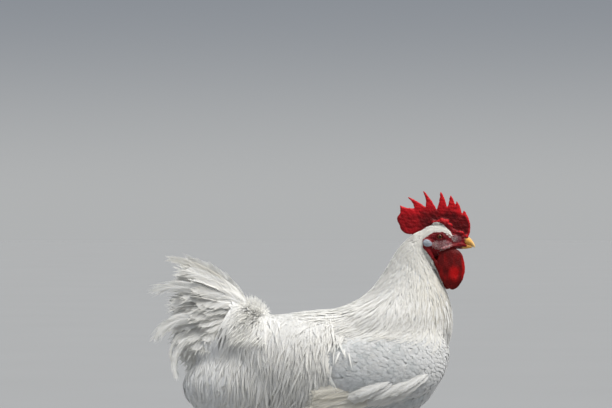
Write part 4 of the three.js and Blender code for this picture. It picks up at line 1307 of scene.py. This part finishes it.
TAIL_LAYERS = (  # how many, how far from the middle plane, highest and lowest heading, length, half width
    (12, 1.5, 53, -22, 114, 10.5),
    (12, 4.5, 51, -28, 112, 10.5),
    (12, 7.5, 49, -34, 108, 11),
    (12, 10.5, 46, -38, 104, 11.5),
    (12, 13.5, 43, -42, 98, 12),
    (11, 16.5, 39, -44, 91, 13),
    (9, 19.5, 34, -44, 82, 13.5),
    (8, 22.0, 28, -42, 72, 13.5),
)
TWIST = 0.4  # how far the vanes turn their faces to the rear at their tips
for word, side in SIDES:
    batches = []
    for layer, (count, out, high, low, long, half_width) in enumerate(TAIL_LAYERS):
        chance = np.random.default_rng(131 + 2 * layer + side)
        part = (np.arange(count) + chance.uniform(-0.3, 0.3, count)) / (count - 1)
        stray = chance.normal(0, 1, (4, count))
        table = np.stack([
            -98 - 16 * part, 339 - 53 * part, high + (low - high) * part + 3 * stray[0],
            -40 - 24 * part + 8 * stray[1], long * (1 - 0.28 * part ** 2) * (1 + 0.06 * stray[2]),
            out * 0.6 + 0 * part, out + 1.5 * stray[3] + 5 * np.sin(np.pi * part),
        ], axis=1)
        outwards = np.tile((0, side, 0.45), (count, ROWS + 1, 1)) + chance.normal(0, 0.07, (count, 1, 3))
        outwards -= np.linspace(0, TWIST, ROWS + 1)[:, None] * (1, 0, 0)
        width = half_width * MM * chance.uniform(0.85, 1.15, count)
        shaft = (arched(table, side), unit(outwards))
        batches += quilled(shaft, width, 36, 151 + 3 * layer, cream=0.12, camber=0.1)
    plumes(f"tail_coverts_{word}", batches)

# Between the two sides more feathers turn their faces to the rear and close the fan.
REAR_FEATHERS = 66
chance = np.random.default_rng(161)
part, stray = chance.random((2, REAR_FEATHERS))
table = np.stack([
    -98 - 16 * part, 336 - 52 * part, 50 - 80 * part, -34 - 26 * part, 104 - 34 * stray - 20 * part ** 2,
    chance.normal(0, 3, REAR_FEATHERS), chance.uniform(-1, 1, REAR_FEATHERS) * (14 + 16 * part),
], axis=1)
shafts = arched(table, 1)
outwards = -np.cross(unit(np.gradient(shafts, axis=1)), (0, 1, 0))
outwards = outwards + chance.normal(0, 0.2, (REAR_FEATHERS, 1, 3))
plumes("tail_rear", quilled((shafts, unit(outwards)), np.full(REAR_FEATHERS, 12 * MM), 30, 162))

# The tuft grows from the end of the back, and is highest in its middle.
TUFT_X = -0.088
on_tuft = (np.abs(ox - TUFT_X) < 26 * MM) * (outline_normals[:, 2] > -0.1) * (oz > 0.300)
bed = Bed(on_tuft, 1.0, 151, 152)
roots, chance = bed.roots, bed.chance
swell = np.exp(-((roots[:, 0] - TUFT_X) / (17 * MM)) ** 2) * np.exp(-(roots[:, 1] / (27 * MM)) ** 4)
outward = [bed.at(outline_normals[:, 0]), bed.at(outline_normals[:, 1]), np.full(len(roots), 0.5)]
outward = unit(np.stack(outward, axis=1))
drape = hanging(roots) * (1 - swell[:, None])
stray = chance.normal(0, 0.17, (len(roots), 3))
spread = unit(outward * (0.3 + 0.7 * swell[:, None]) + drape + (-0.3, 0, 0) + stray)
steps = np.linspace(0, 1, 6)[None, :, None]
long = ((20 + 10 * swell) * chance.uniform(0.8, 1.2, len(roots)) * MM)[:, None, None]
droop = np.array((-0.3, 0, -0.25)) * long * steps ** 2
shafts = roots[:, None] - outward[:, None] * 3 * MM + spread[:, None] * long * steps + droop
facing = np.sign(roots[:, 1])[:, None] * (0, 0.9, 0) + (0.2, 0, 0.8) + chance.normal(0, 0.3, (len(roots), 3))
outwards = np.repeat(facing[:, None], 6, axis=1)
tuft = grown(WISP, (shafts, unit(outwards)), 153, 0.9 * MM, 0.1 * MM, camber=0.05, ragged=0.1)
tuft["along"] = np.ones_like(tuft["along"])  # white to the roots
plumes("tail_tuft_plume", [undercoat(on_tuft, 3.4, 15, 3.4, 154), tuft], instead=["tail_tuft"])

# ------------------------------------------------------------------ feather finish
# Matt white barbs with a faint silky sheen, cream where age and sun have yellowed them. Towards the roots they
# are painted a little greyer: partly grey down, partly painted shade where the next feathers cover them. The
# grey mark is painted shade under the wings, and grey down with painted shade on the folded wings' rear.
def feathered_finish(name, barb, height):
    """White vanes with combed barbs of the given breadth that slant away from an ivory shaft."""
    finish = Finish(
        name, Sheen_Weight=0.25, Sheen_Roughness=0.5, Specular_IOR_Level=0.3, Subsurface_Weight=0.5,
        Subsurface_Scale=4 * MM,
    )
    finish.shader.inputs["Subsurface Radius"].default_value = (1.0, 0.95, 0.85)
    own = finish.place.node("UVMap", {"uv_map": "Vane"})
    across, along = own.part(0), own.part(1)
    off = across.maths("ABSOLUTE", across)
    slant = along - 0.8 * off
    combed = own.node("CombineXYZ", s0=slant * (UV_UNIT / barb), s1=off * 0.9, s2=finish.mark("tone") * 40)
    barbs = own.node("TexNoise", Vector=combed, Scale=1.0, Detail=2.0)
    shaft = 1 - off.between(0.012, 0.05)
    tone = finish.mark("tone")
    white = tone.mix((0.84, 0.835, 0.81), (0.90, 0.90, 0.89))
    white = (finish.mark("cream") * (0.45 + 0.5 * tone)).mix(white, (0.83, 0.76, 0.60))
    # Painted shade, partly grey down: a little greyer towards the covered roots.
    white = (finish.mark("along").between(0.5, 0.0) * 0.15).mix(white, (0.70, 0.69, 0.68))
    white = ((1 - barbs) * 0.25).mix(white, (0.74, 0.74, 0.73))
    white = (shaft * 0.35).mix(white, (0.80, 0.76, 0.64))
    # The grey mark: painted shade under the wings, partly grey down on the wings' rear coverts.
    white = finish.mark("grey").mix(white, (0.62, 0.65, 0.645))
    return finish.paint(white, 0.62 + 0.2 * barbs, barbs * 0.8 + shaft * 0.4, height)


soft = feathered_finish("soft plumage", 0.9 * MM, 0.35 * MM)
firm = feathered_finish("firm vanes", 0.7 * MM, 0.25 * MM)
for piece in coat:
    piece.data.materials.append((firm if piece["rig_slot"] == "flight_feathers" else soft).material)

# ------------------------------------------------------------------ floor, light and camera
# A wide pale floor, one high soft sun from ahead of the bird, a weak cool one from the viewer's side, and a
# pale sky.
FLOOR_RADIUS = 40.0
bm = bmesh.new()
bmesh.ops.create_circle(bm, cap_ends=True, segments=96, radius=FLOOR_RADIUS)
floor = new_object(bm, "floor")
plaster = Finish("pale floor", Roughness=0.9, Specular_IOR_Level=0.15)
plaster.paint(plaster.noise(0.6, 3.0).mix((0.212, 0.216, 0.220), (0.226, 0.230, 0.234)), on=[floor])

for name, power, colour, spread, height, turn in (
    ("key", 4.4, (1.0, 0.975, 0.93), 28, 64, 56),
    ("fill", 0.15, (0.86, 0.92, 1.0), 60, 30, -20),
):
    sun = bpy.data.objects.new(name, bpy.data.lights.new(name, "SUN"))
    sun.data.energy = power
    sun.data.color = colour
    sun.data.angle = math.radians(spread)
    sun.rotation_euler = (math.radians(90 - height), 0, math.radians(turn))
    bpy.context.scene.collection.objects.link(sun)

# The sky is as pale as the floor at the horizon and darkens a little way above it, as a studio sweep does.
# Overhead it is a broad soft light.
sky = bpy.data.worlds.new("studio")
sky.use_nodes = True
facing = Shade(sky.node_tree.nodes.new("ShaderNodeTexCoord").outputs["Generated"])
rise = facing.part(2)
sweep = rise.between(0.0, 0.07).mix((0.437, 0.446, 0.450), (0.25, 0.27, 0.30))
sweep = rise.between(0.12, 0.6).mix(sweep, (0.75, 0.78, 0.82))
backdrop = sky.node_tree.nodes["Background"]
sky.node_tree.links.new(sweep.socket, backdrop.inputs["Color"])
bpy.context.scene.world = sky
bpy.context.scene.view_settings.view_transform = "Standard"

VIEW_MIDDLE = Vector((-0.0116, 0, 0.495))  # what the camera's middle looks at
VIEW_WIDTH = 0.918
LENS = 200
camera = bpy.data.objects.new("camera", bpy.data.cameras.new("camera"))
camera.data.lens = LENS
camera.data.sensor_width = 36
distance = VIEW_WIDTH * LENS / camera.data.sensor_width
camera.location = VIEW_MIDDLE + Vector((0, -distance, 0))
camera.rotation_euler = (math.radians(90), 0, 0)
bpy.context.scene.collection.objects.link(camera)
bpy.context.scene.camera = camera
